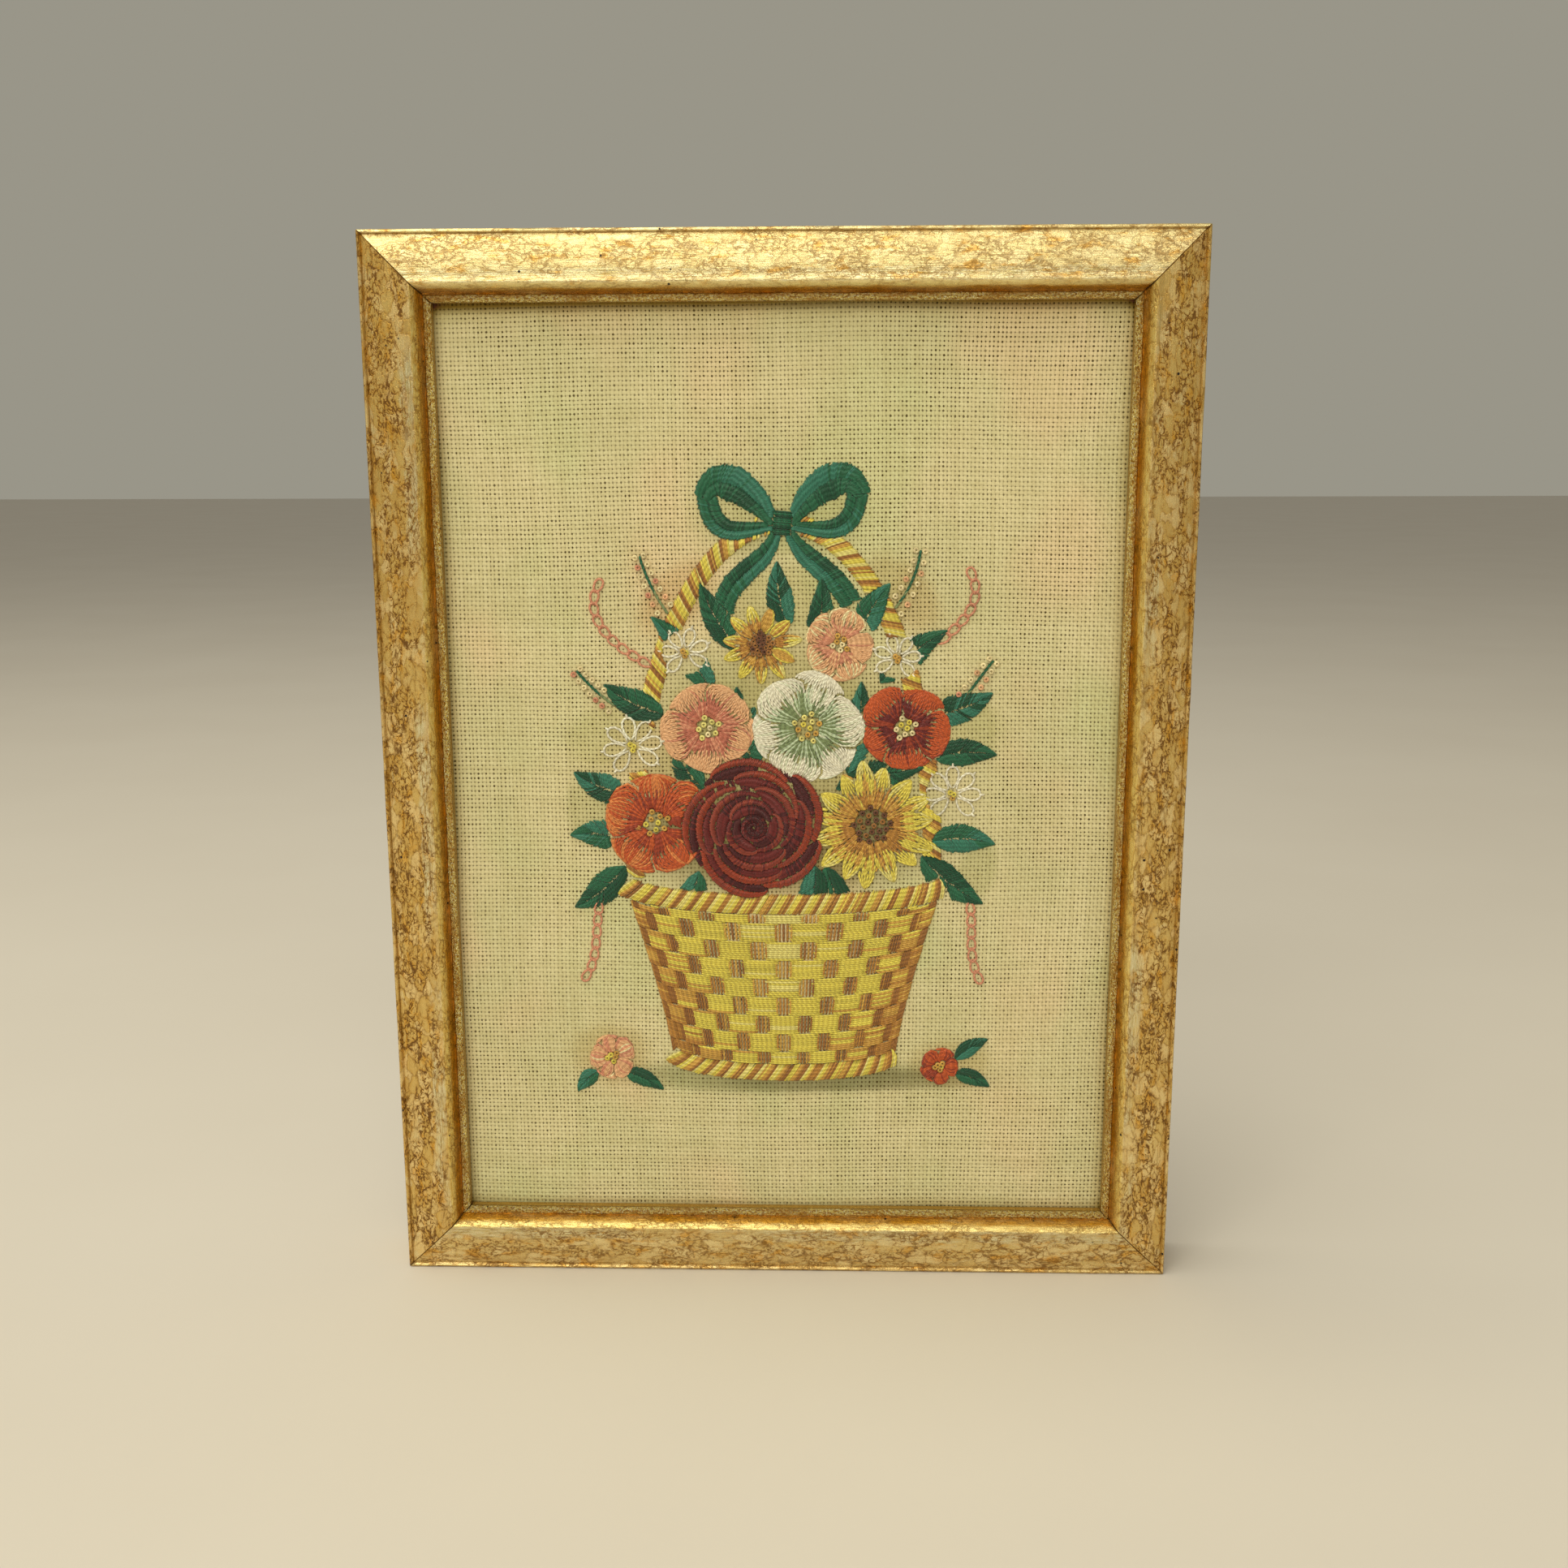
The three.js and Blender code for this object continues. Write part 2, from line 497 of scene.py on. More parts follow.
def section_bar(name, section, stations):
    """The section drawn out from X = -1 to 1 in so many stations, and each vertex's row of the section."""
    bm = bmesh.new()
    row_layer = bm.verts.layers.float.new("section_row")
    end = []
    for row, (across, rise) in enumerate(section):
        vert = bm.verts.new((-1, depth_of(rise), across))
        vert[row_layer] = row
        end.append(vert)
    cap = bm.faces.new(end)
    drawn = bmesh.ops.extrude_face_region(bm, geom=[cap], use_keep_orig=True)
    moved = [g for g in drawn["geom"] if isinstance(g, bmesh.types.BMVert)]
    bmesh.ops.translate(bm, verts=moved, vec=(2, 0, 0))
    long_edges = [e for e in bm.edges if abs(e.verts[0].co.x - e.verts[1].co.x) > 1]
    bmesh.ops.subdivide_edges(bm, edges=long_edges, cuts=stations - 1, use_grid_fill=True)
    bmesh.ops.recalc_face_normals(bm, faces=bm.faces)
    mesh = finished_mesh(bm, name)
    return mesh, np.rint(take_number(mesh, "section_row")).astype(int)


def moulding_mesh(name, outer_length, seed, wear_and_light):
    """A mitred length along X with its outer edge on Z = 0, as its solid is, in millimetres."""
    face = face_outline()
    rebate = [(MOULDING_WIDTH, SHOULDER_RISE), (REBATE_START, SHOULDER_RISE), (REBATE_START, 0.0)]
    section = np.concatenate([[(0.0, 0.0)], face, rebate])
    face_last = len(face)
    stations = round(outer_length / STATION_STEP)
    mesh, rows = section_bar(name, section, stations)
    across, rise = section[rows, 0], section[rows, 1]
    half = outer_length / 2 - across - MITRE_GAP / 2 * math.sqrt(2)
    share = read_points(mesh)[:, 0]
    along = share * half

    # The stations next to the mitres move up to them, for a small worn arris there
    from_end = (1 - np.abs(share)) * stations / 2
    second = np.abs(from_end - 1) < 0.5
    along[second] = np.sign(along[second]) * (half[second] - ARRIS)
    on_face = (rows > 0) & (rows <= face_last)
    proud = np.array([leaf_unevenness(a, c, seed) for a, c in zip(along, across)]) * on_face
    proud[from_end < 0.5] -= ARRIS * on_face[from_end < 0.5]
    out = beside(section)[rows]
    placed_rise = rise + proud * out[:, 1]
    placed_across = across + proud * out[:, 0]
    write_points(mesh, np.column_stack([along, depth_of(placed_rise), placed_across]))

    apart = RAIL_SPACING * seed
    write_uv(mesh, "along_and_round", np.column_stack([along + apart, running_length(section)[rows]]))
    write_number(mesh, "across", across + np.where(rows > face_last, LIP_RISE - SHOULDER_RISE, 0))
    # Wear, with painted light on the brighter rails, the same all along each rail
    write_number(mesh, "wear_and_light", np.full(len(rows), wear_and_light))
    write_number(mesh, "mitre", np.clip(1 - (half - np.abs(along)) / MITRE_SHADE, 0, 1))
    bare = [max(rows[v] for v in p.vertices) > face_last + 1 for p in mesh.polygons]
    mesh.polygons.foreach_set("material_index", np.array(bare, np.int32))
    return mesh


def make_rails(gilding, bare_wood):
    # Each row: node, length, place, turn, and how worn the rail is with how much painted light it gets,
    # most on the top rail
    rows = [
        ("rail_bottom", FRAME_WIDTH, (0, 0, 0), 0, 0.6),
        ("rail_top", FRAME_WIDTH, (0, 0, FRAME_HEIGHT), 180, 1.0),
        ("rail_left", FRAME_HEIGHT, (-FRAME_WIDTH / 2, 0, MIDDLE_HEIGHT), 90, 0.2),
        ("rail_right", FRAME_HEIGHT, (FRAME_WIDTH / 2, 0, MIDDLE_HEIGHT), -90, 0.25),
    ]
    for seed, (node, length, place, turn, wear_and_light) in enumerate(rows, 1):
        mesh = moulding_mesh("gilded_" + node, length, seed, wear_and_light)
        turned = Matrix.Rotation(math.radians(turn), 4, "Y")
        mesh.transform(Matrix.Scale(MM, 4) @ Matrix.Translation(place) @ turned)
        shade_smooth(mesh, 50)
        rail = new_piece("gilded_" + node, mesh, gilding)
        mesh.materials.append(bare_wood)
        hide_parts(node)


class Gilding(Finish):
    """The gilding in the making, and what its layers share. Its patterns follow each rail's length."""

    def __init__(self):
        super().__init__("worn_gilding")
        self.place = self.uv("along_and_round")
        self.across = self.attribute("across")
        # Wear, and painted light on the brighter rails
        self.wear_and_light = self.attribute("wear_and_light")
        drift = self.noise(self.place, (0.2, 0.45, 1), detail=3, output="Color")
        ragged = self.noise(self.place, (1.1, 1.7, 1), detail=4, roughness=0.6, output="Color")
        self.warped = self.warp(self.warp(self.place, drift, (3.6, 2.0, 0)), ragged, (1.1, 0.8, 0))
        self.island = self.part(self.cells(self.warped, CELL_SCALE, output="Color"), "X")
        self.tone = self.noise(self.place, (0.08, 0.3, 1), detail=4)
        self.fine = self.noise(self.place, (2.6, 5.0, 1), detail=2, roughness=0.6)
        self.dashes = self.noise(self.place, (0.5, 5.0, 1), detail=3, roughness=0.65)
        self.wobble = self.times(self.less(self.noise(self.place, (0.3, 1.0, 1), detail=4), 0.5), 3.4)
        self.outward = self.spread(self.across, *CREST_EASE, 0.65, 1.0)
        self.gold = self.mix(self.spread(self.tone, 0.34, 0.66), shade(214, 172, 84), shade(226, 190, 106))

    def warp(self, place, by, reach):
        """place, led astray by a noise's colour, by up to half of reach."""
        centred = self.add("VectorMath", {0: by, 1: (0.5, 0.5, 0.5)}, operation="SUBTRACT")
        return self.add("VectorMath", {0: centred, 1: reach, 2: place}, operation="MULTIPLY_ADD")

    def strip(self, edges, stray, soft):
        """1 between two distances across the section. The edges stray by that share of the wobble."""
        return self.band(self.sum(self.across, self.times(self.wobble, stray)), *edges, soft)

    def lay(self, share, colour):
        """Lays that share of a colour over the gold so far."""
        self.gold = self.mix(share, self.gold, colour)


def lay_silver_wear(gilt):
    """Silver-grey wear just outside the crest, patches where the gold has gone, and long scratches."""
    patchy = gilt.noise(gilt.place, (0.05, 0.12, 1), detail=4)
    # The silver patches spread further on the brighter rails, partly as painted highlight
    patchy = gilt.spread(gilt.sum(patchy, gilt.times(gilt.wear_and_light, 0.3)), 0.54, 0.66, 0.05, 0.9)
    scratches = gilt.spread(gilt.noise(gilt.place, (0.2, 8.0, 1), detail=3, roughness=0.7), 0.48, 0.6)
    silver = gilt.mix(scratches, shade(238, 228, 186), shade(178, 160, 98))
    silver = gilt.mix(gilt.spread(gilt.dashes, 0.5, 0.62, 0.0, 0.6), silver, shade(204, 176, 96))
    gilt.lay(gilt.times(gilt.strip(SILVER_EDGES, 0.6, 0.25), patchy), silver)
    lost = gilt.spread(gilt.noise(gilt.warped, (0.2, 0.36, 1), detail=1), 0.63, 0.67, 0.0, 0.6)
    gilt.lay(lost, shade(238, 218, 162))
    lines = gilt.spread(gilt.noise(gilt.place, (0.09, 7.0, 1), detail=2), 0.63, 0.68, 0.0, 0.6)
    gilt.lay(gilt.times(lines, gilt.outward), shade(140, 110, 30))


def lay_section_lines(gilt):
    """The section's own lines, which lie under the stains: groove, cove and valley."""
    groove = gilt.band(gilt.across, *GROOVE_EDGES, 0.07)
    groove = gilt.times(groove, gilt.spread(gilt.tone, 0.3, 0.6, 0.35, 0.9))
    gilt.lay(gilt.times(groove, 0.8), shade(126, 88, 12))
    cove_gold_and_highlight = gilt.mix(gilt.spread(gilt.dashes, 0.42, 0.6), shade(240, 216, 128), shade(210, 168, 58))
    # On the brighter rails the cove turns paler still, a painted highlight
    cove_gold_and_highlight = gilt.mix(gilt.times(gilt.wear_and_light, 0.5), cove_gold_and_highlight, shade(255, 244, 190))
    gilt.lay(gilt.times(gilt.strip(COVE_EDGES, 0.12, 0.15), 0.85), cove_gold_and_highlight)
    amber_dark = gilt.mix(gilt.spread(gilt.dashes, 0.42, 0.6), shade(222, 162, 26), shade(158, 106, 6))
    valley = gilt.times(gilt.strip(VALLEY_EDGES, 0.2, 0.22), gilt.spread(gilt.tone, 0.3, 0.62, 0.5, 0.95))
    gilt.lay(valley, amber_dark)


def lay_crackle(gilt):
    """Amber size that shows through: a soft stain round the cells, and thin dark crackle in it."""
    crowd = gilt.noise(gilt.place, (0.13, 0.34, 1), detail=3, roughness=0.55)
    crowd = gilt.sum(crowd, gilt.times(gilt.strip(CRACKLED_EDGES, 1.0, 0.9), 0.08))
    crowd = gilt.spread(crowd, 0.38, 0.6, 0.1, 1.0)
    # Fewer veins on the brighter rails, where the painted highlight washes them out
    often = gilt.times(gilt.spread(crowd, 0, 1, 0.4, 1.0), gilt.spread(gilt.wear_and_light, 0.2, 1.0, 1.0, 0.55))
    ragged = gilt.noise(gilt.place, (0.9, 1.6, 1), detail=4, roughness=0.65)
    edge = gilt.cells(gilt.warped, CELL_SCALE, "DISTANCE_TO_EDGE")
    small_edge = gilt.cells(gilt.warped, SMALL_CELL_SCALE, "DISTANCE_TO_EDGE")
    worm = gilt.maths("ABSOLUTE", gilt.less(gilt.noise(gilt.warped, (0.5, 0.8, 1), detail=3), 0.5))

    stain = gilt.times(gilt.spread(small_edge, 0.22, 0.03), crowd)
    stain = gilt.maths("MAXIMUM", gilt.spread(edge, 0.22, 0.02), stain)
    stain = gilt.times(gilt.times(stain, often), gilt.spread(ragged, 0.34, 0.58, 0.25, 1.0))
    core = gilt.times(gilt.spread(small_edge, 0.085, 0.03), crowd)
    core = gilt.maths("MAXIMUM", gilt.spread(edge, 0.055, 0.02), core)
    core = gilt.maths("MAXIMUM", core, gilt.times(gilt.spread(worm, 0.018, 0.006), gilt.times(crowd, 0.5)))
    core = gilt.times(gilt.times(core, often), gilt.spread(ragged, 0.4, 0.52))
    vein = gilt.times(core, gilt.outward)
    amber = gilt.spread(gilt.noise(gilt.warped, (0.22, 0.55, 1), detail=5, roughness=0.6), 0.52, 0.64)
    amber = gilt.times(amber, gilt.spread(crowd, 0.0, 1.0, 0.2, 0.9))
    gilt.lay(gilt.times(gilt.times(amber, gilt.outward), 0.7), shade(226, 160, 14))
    gilt.lay(gilt.times(gilt.times(stain, gilt.outward), 0.7), shade(198, 138, 10))
    gilt.lay(gilt.times(vein, 0.92), shade(104, 64, 2))
    return core, vein


def lay_sight_bead(gilt):
    """The sight bead, rough, with painted glints on it, and the lip behind it."""
    bead = gilt.strip(SIGHT_BEAD_EDGES, 0.1, 0.12)
    bead_grain_and_glint = gilt.noise(gilt.place, (1.5, 2.3, 1), detail=4, roughness=0.75)
    # Painted glints: bright pale gold where the bead's grain is high
    bead_gold_and_glints = gilt.mix(gilt.spread(bead_grain_and_glint, 0.46, 0.53), shade(176, 124, 16), shade(255, 232, 142))
    stained = gilt.noise(gilt.place, (0.11, 0.4, 1), detail=4)
    bead_gold_and_glints = gilt.mix(gilt.spread(stained, 0.46, 0.6, 0.0, 0.55), bead_gold_and_glints, shade(186, 124, 8))
    # More painted glints: small near-white flecks, fewer where the bead is stained
    glint_fleck = gilt.spread(gilt.noise(gilt.place, (2.4, 3.2, 1), detail=3, roughness=0.6), 0.55, 0.6)
    glint_fleck = gilt.times(glint_fleck, gilt.spread(stained, 0.6, 0.44, 0.25, 1.0))
    bead_gold_and_glints = gilt.mix(glint_fleck, bead_gold_and_glints, shade(255, 250, 214))
    gilt.lay(gilt.times(bead, 0.94), bead_gold_and_glints)
    lip_gold = gilt.mix(gilt.spread(gilt.fine, 0.4, 0.6), shade(204, 168, 86), shade(160, 118, 34))
    gilt.lay(gilt.spread(gilt.across, *LIP_EASE), lip_gold)
    return bead, bead_grain_and_glint


def lay_specks(gilt):
    """Specks of dirt."""
    luck = gilt.part(gilt.cells(gilt.place, SPOT_SCALE, output="Color"), "Y")
    spot_size = gilt.times(gilt.less(luck, 0.55), 0.27)
    speck = gilt.spread(gilt.less(spot_size, gilt.cells(gilt.place, SPOT_SCALE)), 0.0, 0.02)
    gilt.lay(speck, shade(30, 14, 8))
    return speck


def gilding_finish():
    gilt = Gilding()
    gilt.lay(gilt.spread(gilt.island, 0.4, 0.8, 0.0, 0.8), shade(246, 216, 150))
    gilt.lay(gilt.spread(gilt.fine, 0.46, 0.7, 0.0, 0.35), shade(178, 138, 48))
    # Painted highlight: the brighter rails, the top one most, turn pale cream
    gilt.lay(gilt.times(gilt.wear_and_light, 0.42), shade(244, 246, 204))
    lay_silver_wear(gilt)
    lay_section_lines(gilt)
    core, vein = lay_crackle(gilt)
    bead, bead_grain_and_glint = lay_sight_bead(gilt)
    speck = lay_specks(gilt)
    joint = gilt.spread(gilt.attribute("mitre"), 0.6, 0.95)
    gilt.lay(gilt.times(joint, 0.6), shade(120, 84, 20))

    dull = gilt.maths("MAXIMUM", gilt.times(vein, 0.6), speck)
    roughness = gilt.sum(gilt.spread(dull, 0, 1, 0.3, 0.5), gilt.times(gilt.less(gilt.fine, 0.5), 0.4))
    polish = gilt.maths("MAXIMUM", gilt.times(bead, 0.08), gilt.times(gilt.wear_and_light, 0.05))
    roughness = gilt.less(roughness, polish)
    metal = gilt.spread(dull, 0, 1, 0.66, 0.42)
    streaks = gilt.noise(gilt.place, (0.13, 6.5, 1), detail=2, roughness=0.65)
    grit = gilt.noise(gilt.place, (6.0, 8.0, 1), detail=1)
    relief = gilt.bump(streaks, 0.06)
    relief = gilt.bump(gilt.sum(gilt.times(core, -1.0), gilt.times(gilt.island, 0.5)), 0.05, relief)
    relief = gilt.bump(gilt.times(bead, bead_grain_and_glint), 1.2, relief)
    relief = gilt.bump(gilt.sum(gilt.fine, gilt.times(grit, 0.5)), 0.035, relief)
    gilt.surface(Base_Color=gilt.gold, Roughness=roughness, Metallic=metal, Normal=relief)
    return gilt.surface(Coat_Weight=0.15, Coat_Roughness=0.3)


def bare_wood_finish():
    wood = Finish("bare_wood")
    place = wood.uv("along_and_round")
    grain = wood.noise(place, (0.03, 1.1, 1), detail=5, roughness=0.6)
    pores = wood.noise(place, (0.5, 7.0, 1), detail=3)
    tone = wood.mix(wood.spread(grain, 0.35, 0.65), shade(196, 160, 108), shade(162, 120, 72))
    tone = wood.mix(wood.spread(pores, 0.55, 0.8, 0.0, 0.4), tone, shade(120, 84, 48))
    stain = wood.spread(wood.noise(place, (0.05, 0.2, 1), detail=2), 0.5, 0.75, 0.0, 0.35)
    tone = wood.mix(stain, tone, shade(176, 124, 52))
    return wood.surface(Base_Color=tone, Roughness=0.72, Normal=wood.bump(pores, 0.06))


def card_finish():
    card = Finish("mount_card")
    place = card.add("TexCoord", {}, "Object")
    fibres = card.noise(place, (900, 900, 2600), detail=4, roughness=0.7)
    cloud = card.noise(place, (26, 26, 26), detail=3)
    flecks = card.cells(place, (420, 420, 700))
    tone = card.mix(card.spread(cloud, 0.35, 0.65), shade(152, 132, 102), shade(166, 146, 114))
    tone = card.mix(card.spread(fibres, 0.5, 0.75, 0.0, 0.5), tone, shade(124, 104, 76))
    tone = card.mix(card.spread(flecks, 0.16, 0.08, 0.0, 0.6), tone, shade(96, 76, 52))
    return card.surface(Base_Color=tone, Roughness=0.88, Normal=card.bump(fibres, 0.05))


# The cloth

def thread_wander(right, up):
    """How far the weave's threads stray sideways and up or down, dying out at the cloth's edge."""
    fade = np.clip((1 - np.abs(right) / (CLOTH_WIDTH / 2)) / 0.05, 0, 1)
    fade = fade * np.clip((1 - np.abs(up) / (CLOTH_HEIGHT / 2)) / 0.05, 0, 1)
    sideways = 0.32 * np.sin(up / 23 + 0.9 * np.sin(right / 31) + 1.3)
    sideways = sideways + 0.13 * np.sin(up / 8.5 + right / 15)
    upwards = 0.30 * np.sin(right / 27 + 1.1 * np.sin(up / 39))
    upwards = upwards + 0.12 * np.sin(right / 8 + up / 21 + 2)
    return sideways * fade, upwards * fade


def uneven_threads(count, rng):
    """Small steps off an even spacing, one for each thread, that do not add up."""
    steps = rng.normal(0, 0.05, count + 1)
    return steps - np.convolve(np.pad(steps, 4, mode="edge"), np.ones(9) / 9, mode="valid")


def woven_sheet():
    """A closed sheet, one unit wide and high, with a pinhole's point in each gap of the weave."""
    bm = bmesh.new()
    bmesh.ops.create_grid(bm, x_segments=THREADS_ACROSS, y_segments=THREADS_UP, size=0.5)
    rim = [e for e in bm.edges if e.is_boundary]
    back = bmesh.ops.extrude_edge_only(bm, edges=rim)["geom"]
    back_verts = [g for g in back if isinstance(g, bmesh.types.BMVert)]
    bmesh.ops.translate(bm, verts=back_verts, vec=(0, 0, -1))
    back_edges = [g for g in back if isinstance(g, bmesh.types.BMEdge) and g.is_boundary]
    bmesh.ops.contextual_create(bm, geom=back_edges)
    front = [face for face in bm.faces if len(face.verts) == 4 and min(v.co.z for v in face.verts) > -0.5]
    pit_layer = bm.verts.layers.float.new("pit")
    for vert in bmesh.ops.poke(bm, faces=front)["verts"]:
        vert[pit_layer] = 1
    bmesh.ops.recalc_face_normals(bm, faces=bm.faces)
    return finished_mesh(bm, "linen_cloth")


def flip_if_inside_out(mesh):
    bm = bmesh.new()
    bm.from_mesh(mesh)
    if bm.calc_volume(signed=True) < 0:
        bmesh.ops.reverse_faces(bm, faces=bm.faces)
    bm.to_mesh(mesh)
    bm.free()


def make_cloth(finish, tints):
    rng = np.random.default_rng(SEED)
    mesh = woven_sheet()
    pit = take_number(mesh, "pit")
    flat = read_points(mesh)
    behind = flat[:, 2] < -0.5
    inner = (np.abs(flat[:, 0]) < FLAT_RIM) & (np.abs(flat[:, 1]) < FLAT_RIM)
    column, row = (flat[:, 0] + 0.5) * THREADS_ACROSS, (flat[:, 1] + 0.5) * THREADS_UP
    right, up = flat[:, 0] * CLOTH_WIDTH, flat[:, 1] * CLOTH_HEIGHT

    across_steps, up_steps = uneven_threads(THREADS_ACROSS, rng), uneven_threads(THREADS_UP, rng)
    sideways, upwards = thread_wander(right, up)
    sideways = sideways + np.interp(column, np.arange(THREADS_ACROSS + 1), across_steps)
    upwards = upwards + np.interp(row, np.arange(THREADS_UP + 1), up_steps)
    jitter = rng.normal(0, THREAD_JITTER, (2, len(flat)))
    placed_right = right + (sideways + jitter[0]) * inner
    placed_up = up + (upwards + jitter[1]) * inner
    parity = np.where((np.rint(column) + np.rint(row)) % 2 < 1, 1.0, -0.4)
    relief = np.where(pit > 0.5, -PINHOLE_DEPTH * rng.uniform(0.5, 1.2, len(flat)), CROSSING_LIFT * parity)
    rise = CLOTH_RISE + relief * inner - cockle(right, up)
    rise[behind] = CLOTH_RISE - CLOTH_THICKNESS
    write_points(mesh, np.column_stack([placed_right, depth_of(rise), MIDDLE_HEIGHT + placed_up]) * MM)
    flip_if_inside_out(mesh)

    write_uv(mesh, "threads", np.column_stack([column, row]))
    # The printed colours, darkened by the painted shade beside the lip
    write_colour(mesh, "print_and_lip_shade", printed_colour(right, up, tints) * painted_lip_shade(right, up))
    shade_smooth(mesh, 60)
    cloth = new_piece("linen_cloth", mesh, finish)
    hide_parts("linen")
    return cloth


def printed_colour(right, up, tints):
    """The faint stamped colours on the cloth: each tint is a soft oval that darkens what is under it."""
    colours = np.ones((len(right), 3))
    for across, above, half_wide, half_tall, turn, colour, strength in tints:
        long_way, short_way = heading(turn)
        x = ((right - across) * long_way[0] + (up - above) * long_way[1]) / half_wide
        y = ((right - across) * short_way[0] + (up - above) * short_way[1]) / half_tall
        share = strength * eased((TINT_REACH - np.hypot(x, y)) / TINT_FADE)[:, None]
        colours *= 1 - share + share * linear(colour)
    return colours


def painted_lip_shade(right, up):
    """How much of the cloth's tone is left near the sight edge: painted shade beside the lip, deepest
    under the top rail.
    """
    from_side = np.maximum(SIGHT_HALF_WIDTH - np.abs(right), 0)
    from_top = np.maximum(SIGHT_HALF_HEIGHT - up, 0)
    from_foot = np.maximum(SIGHT_HALF_HEIGHT + up, 0)
    # Bands of painted shade: depth, distance from the lip, and how fast each fades
    stains = [(0.33, from_side, 0.9), (0.26, from_foot, 0.9), (0.52, from_top, 1.3), (0.10, from_top, 4.0)]
    loss = sum(depth * np.exp(-away / reach) for depth, away, reach in stains)
    return 1 - np.minimum(loss[:, None] * LIP_SHADE_TINT, DARKEST_LIP_SHADE)


def painted_pinhole_shade(weave, threads, gap, off_thread):
    """How much of the painted shade in a pinhole shows at a point. Each gap of the weave has one, of its
    own size and depth.
    """
    from_hole = weave.add("VectorMath", {0: off_thread, 1: (0.5, 0.5, 0)}, "Value", operation="DISTANCE")
    size = weave.spread(weave.chance(gap), 0, 1, 0.18, 0.26)
    pinhole_shade = weave.spread(weave.less(size, from_hole), -0.04, 0.04)
    depth = weave.spread(weave.part(weave.chance(gap, "Color"), "Y"), 0, 1, 0.55, 1.0)
    slack = weave.spread(weave.noise(threads, (0.03, 0.026, 1), detail=3), 0.36, 0.6, 0.7, 1.0)
    return weave.times(weave.times(pinhole_shade, depth), slack)


def linen_finish():
    weave = Finish("linen_weave")
    threads = weave.uv("threads")
    column, row = weave.part(threads, "X"), weave.part(threads, "Y")
    nearest_column, nearest_row = weave.maths("ROUND", column), weave.maths("ROUND", row)
    off_column, off_row = weave.less(column, nearest_column), weave.less(row, nearest_row)

    # Each crossing has the upright thread on top, or else the level one
    odd = weave.maths("FLOORED_MODULO", weave.sum(nearest_column, nearest_row), 2.0)
    upright = weave.maths("COSINE", weave.times(off_column, math.pi))
    level = weave.maths("COSINE", weave.times(off_row, math.pi))
    thread = weave.add("Mix", {0: odd, 2: upright, 3: level}, 0, data_type="FLOAT")
    gap = weave.join(weave.maths("FLOOR", column), weave.maths("FLOOR", row))
    off_thread = weave.join(weave.maths("ABSOLUTE", off_column), weave.maths("ABSOLUTE", off_row))
    pinhole_shade = painted_pinhole_shade(weave, threads, gap, off_thread)

    by_column = weave.chance(weave.join(nearest_column, 3.0))
    by_row = weave.chance(weave.join(11.0, nearest_row))
    yarn = weave.times(weave.sum(by_column, by_row), 0.5)
    slub = weave.noise(threads, (0.9, 0.12, 1), detail=2)
    slub_level = weave.noise(threads, (0.12, 0.9, 1), detail=2)
    slub = weave.times(weave.sum(slub, slub_level), 0.5)
    cloud = weave.noise(threads, (0.035, 0.031, 1), detail=3)
    blush = weave.noise(threads, (0.022, 0.02, 2), detail=2)
    tone = weave.mix(weave.spread(cloud, 0.36, 0.64), shade(224, 217, 170), shade(234, 223, 178))
    tone = weave.mix(weave.spread(blush, 0.5, 0.68, 0.0, 0.6), tone, shade(242, 214, 172))
    tone = weave.mix(weave.spread(blush, 0.46, 0.32, 0.0, 0.6), tone, shade(216, 219, 165))
    tone = weave.mix(weave.spread(yarn, 0.25, 0.75, 0.14, 0.0), tone, shade(176, 164, 108))
    tone = weave.mix(weave.spread(slub, 0.4, 0.62, 0.16, 0.0), tone, shade(184, 170, 112))
    # Painted shade where each thread dips down beside the next
    tone = weave.mix(weave.spread(thread, 0.1, 0.8, 0.16, 0.0), tone, shade(160, 144, 88))
    # The print and the painted lip shade multiply the weave's colour
    tone = weave.mix(1.0, tone, weave.attribute("print_and_lip_shade", "Color"), "MULTIPLY")
    # Painted shade in each gap of the weave, for the dark seen through it
    tone = weave.mix(weave.times(pinhole_shade, 0.95), tone, shade(66, 48, 2))
    relief = weave.bump(thread, 0.07)
    weave.surface(Base_Color=tone, Roughness=0.86, Normal=relief)
    return weave.surface(Sheen_Weight=0.05, Sheen_Roughness=0.5, Specular_IOR_Level=0.12)


# Shapes that stitches fill

class Blade:
    """A petal, leaf or ribbon: a curved spine, and how far the shape reaches on either side of it."""

    def __init__(self, spine, half_widths):
        spine = np.asarray(spine, float)
        reach = running_length(spine)
        self.length = reach[-1]
        self.share = reach / reach[-1]
        self.spine = spine
        self.half_widths = np.asarray(half_widths, float)
        self.side = beside(spine)

    def width(self, s):
        return np.interp(s, self.share, self.half_widths)

    def place(self, s, t):
        """The point at share s of the spine, and share t of the way out to one side."""
        s = np.clip(s, 0, 1)
        aside = t * self.width(s)
        x = np.interp(s, self.share, self.spine[:, 0]) + aside * np.interp(s, self.share, self.side[:, 0])
        y = np.interp(s, self.share, self.spine[:, 1]) + aside * np.interp(s, self.share, self.side[:, 1])
        return np.stack([x, y], axis=-1)

    def outline(self):
        s = np.linspace(0, 1, 30)
        return np.concatenate([self.place(s, 1.0), self.place(s[::-1], -1.0)])


def swell(s, peak, roundness):
    """From 0 at both ends to 1 at the share peak. A low roundness gives full, blunt ends."""
    return np.sin(math.pi * np.clip(s, 0, 1) ** (math.log(0.5) / math.log(peak))) ** roundness


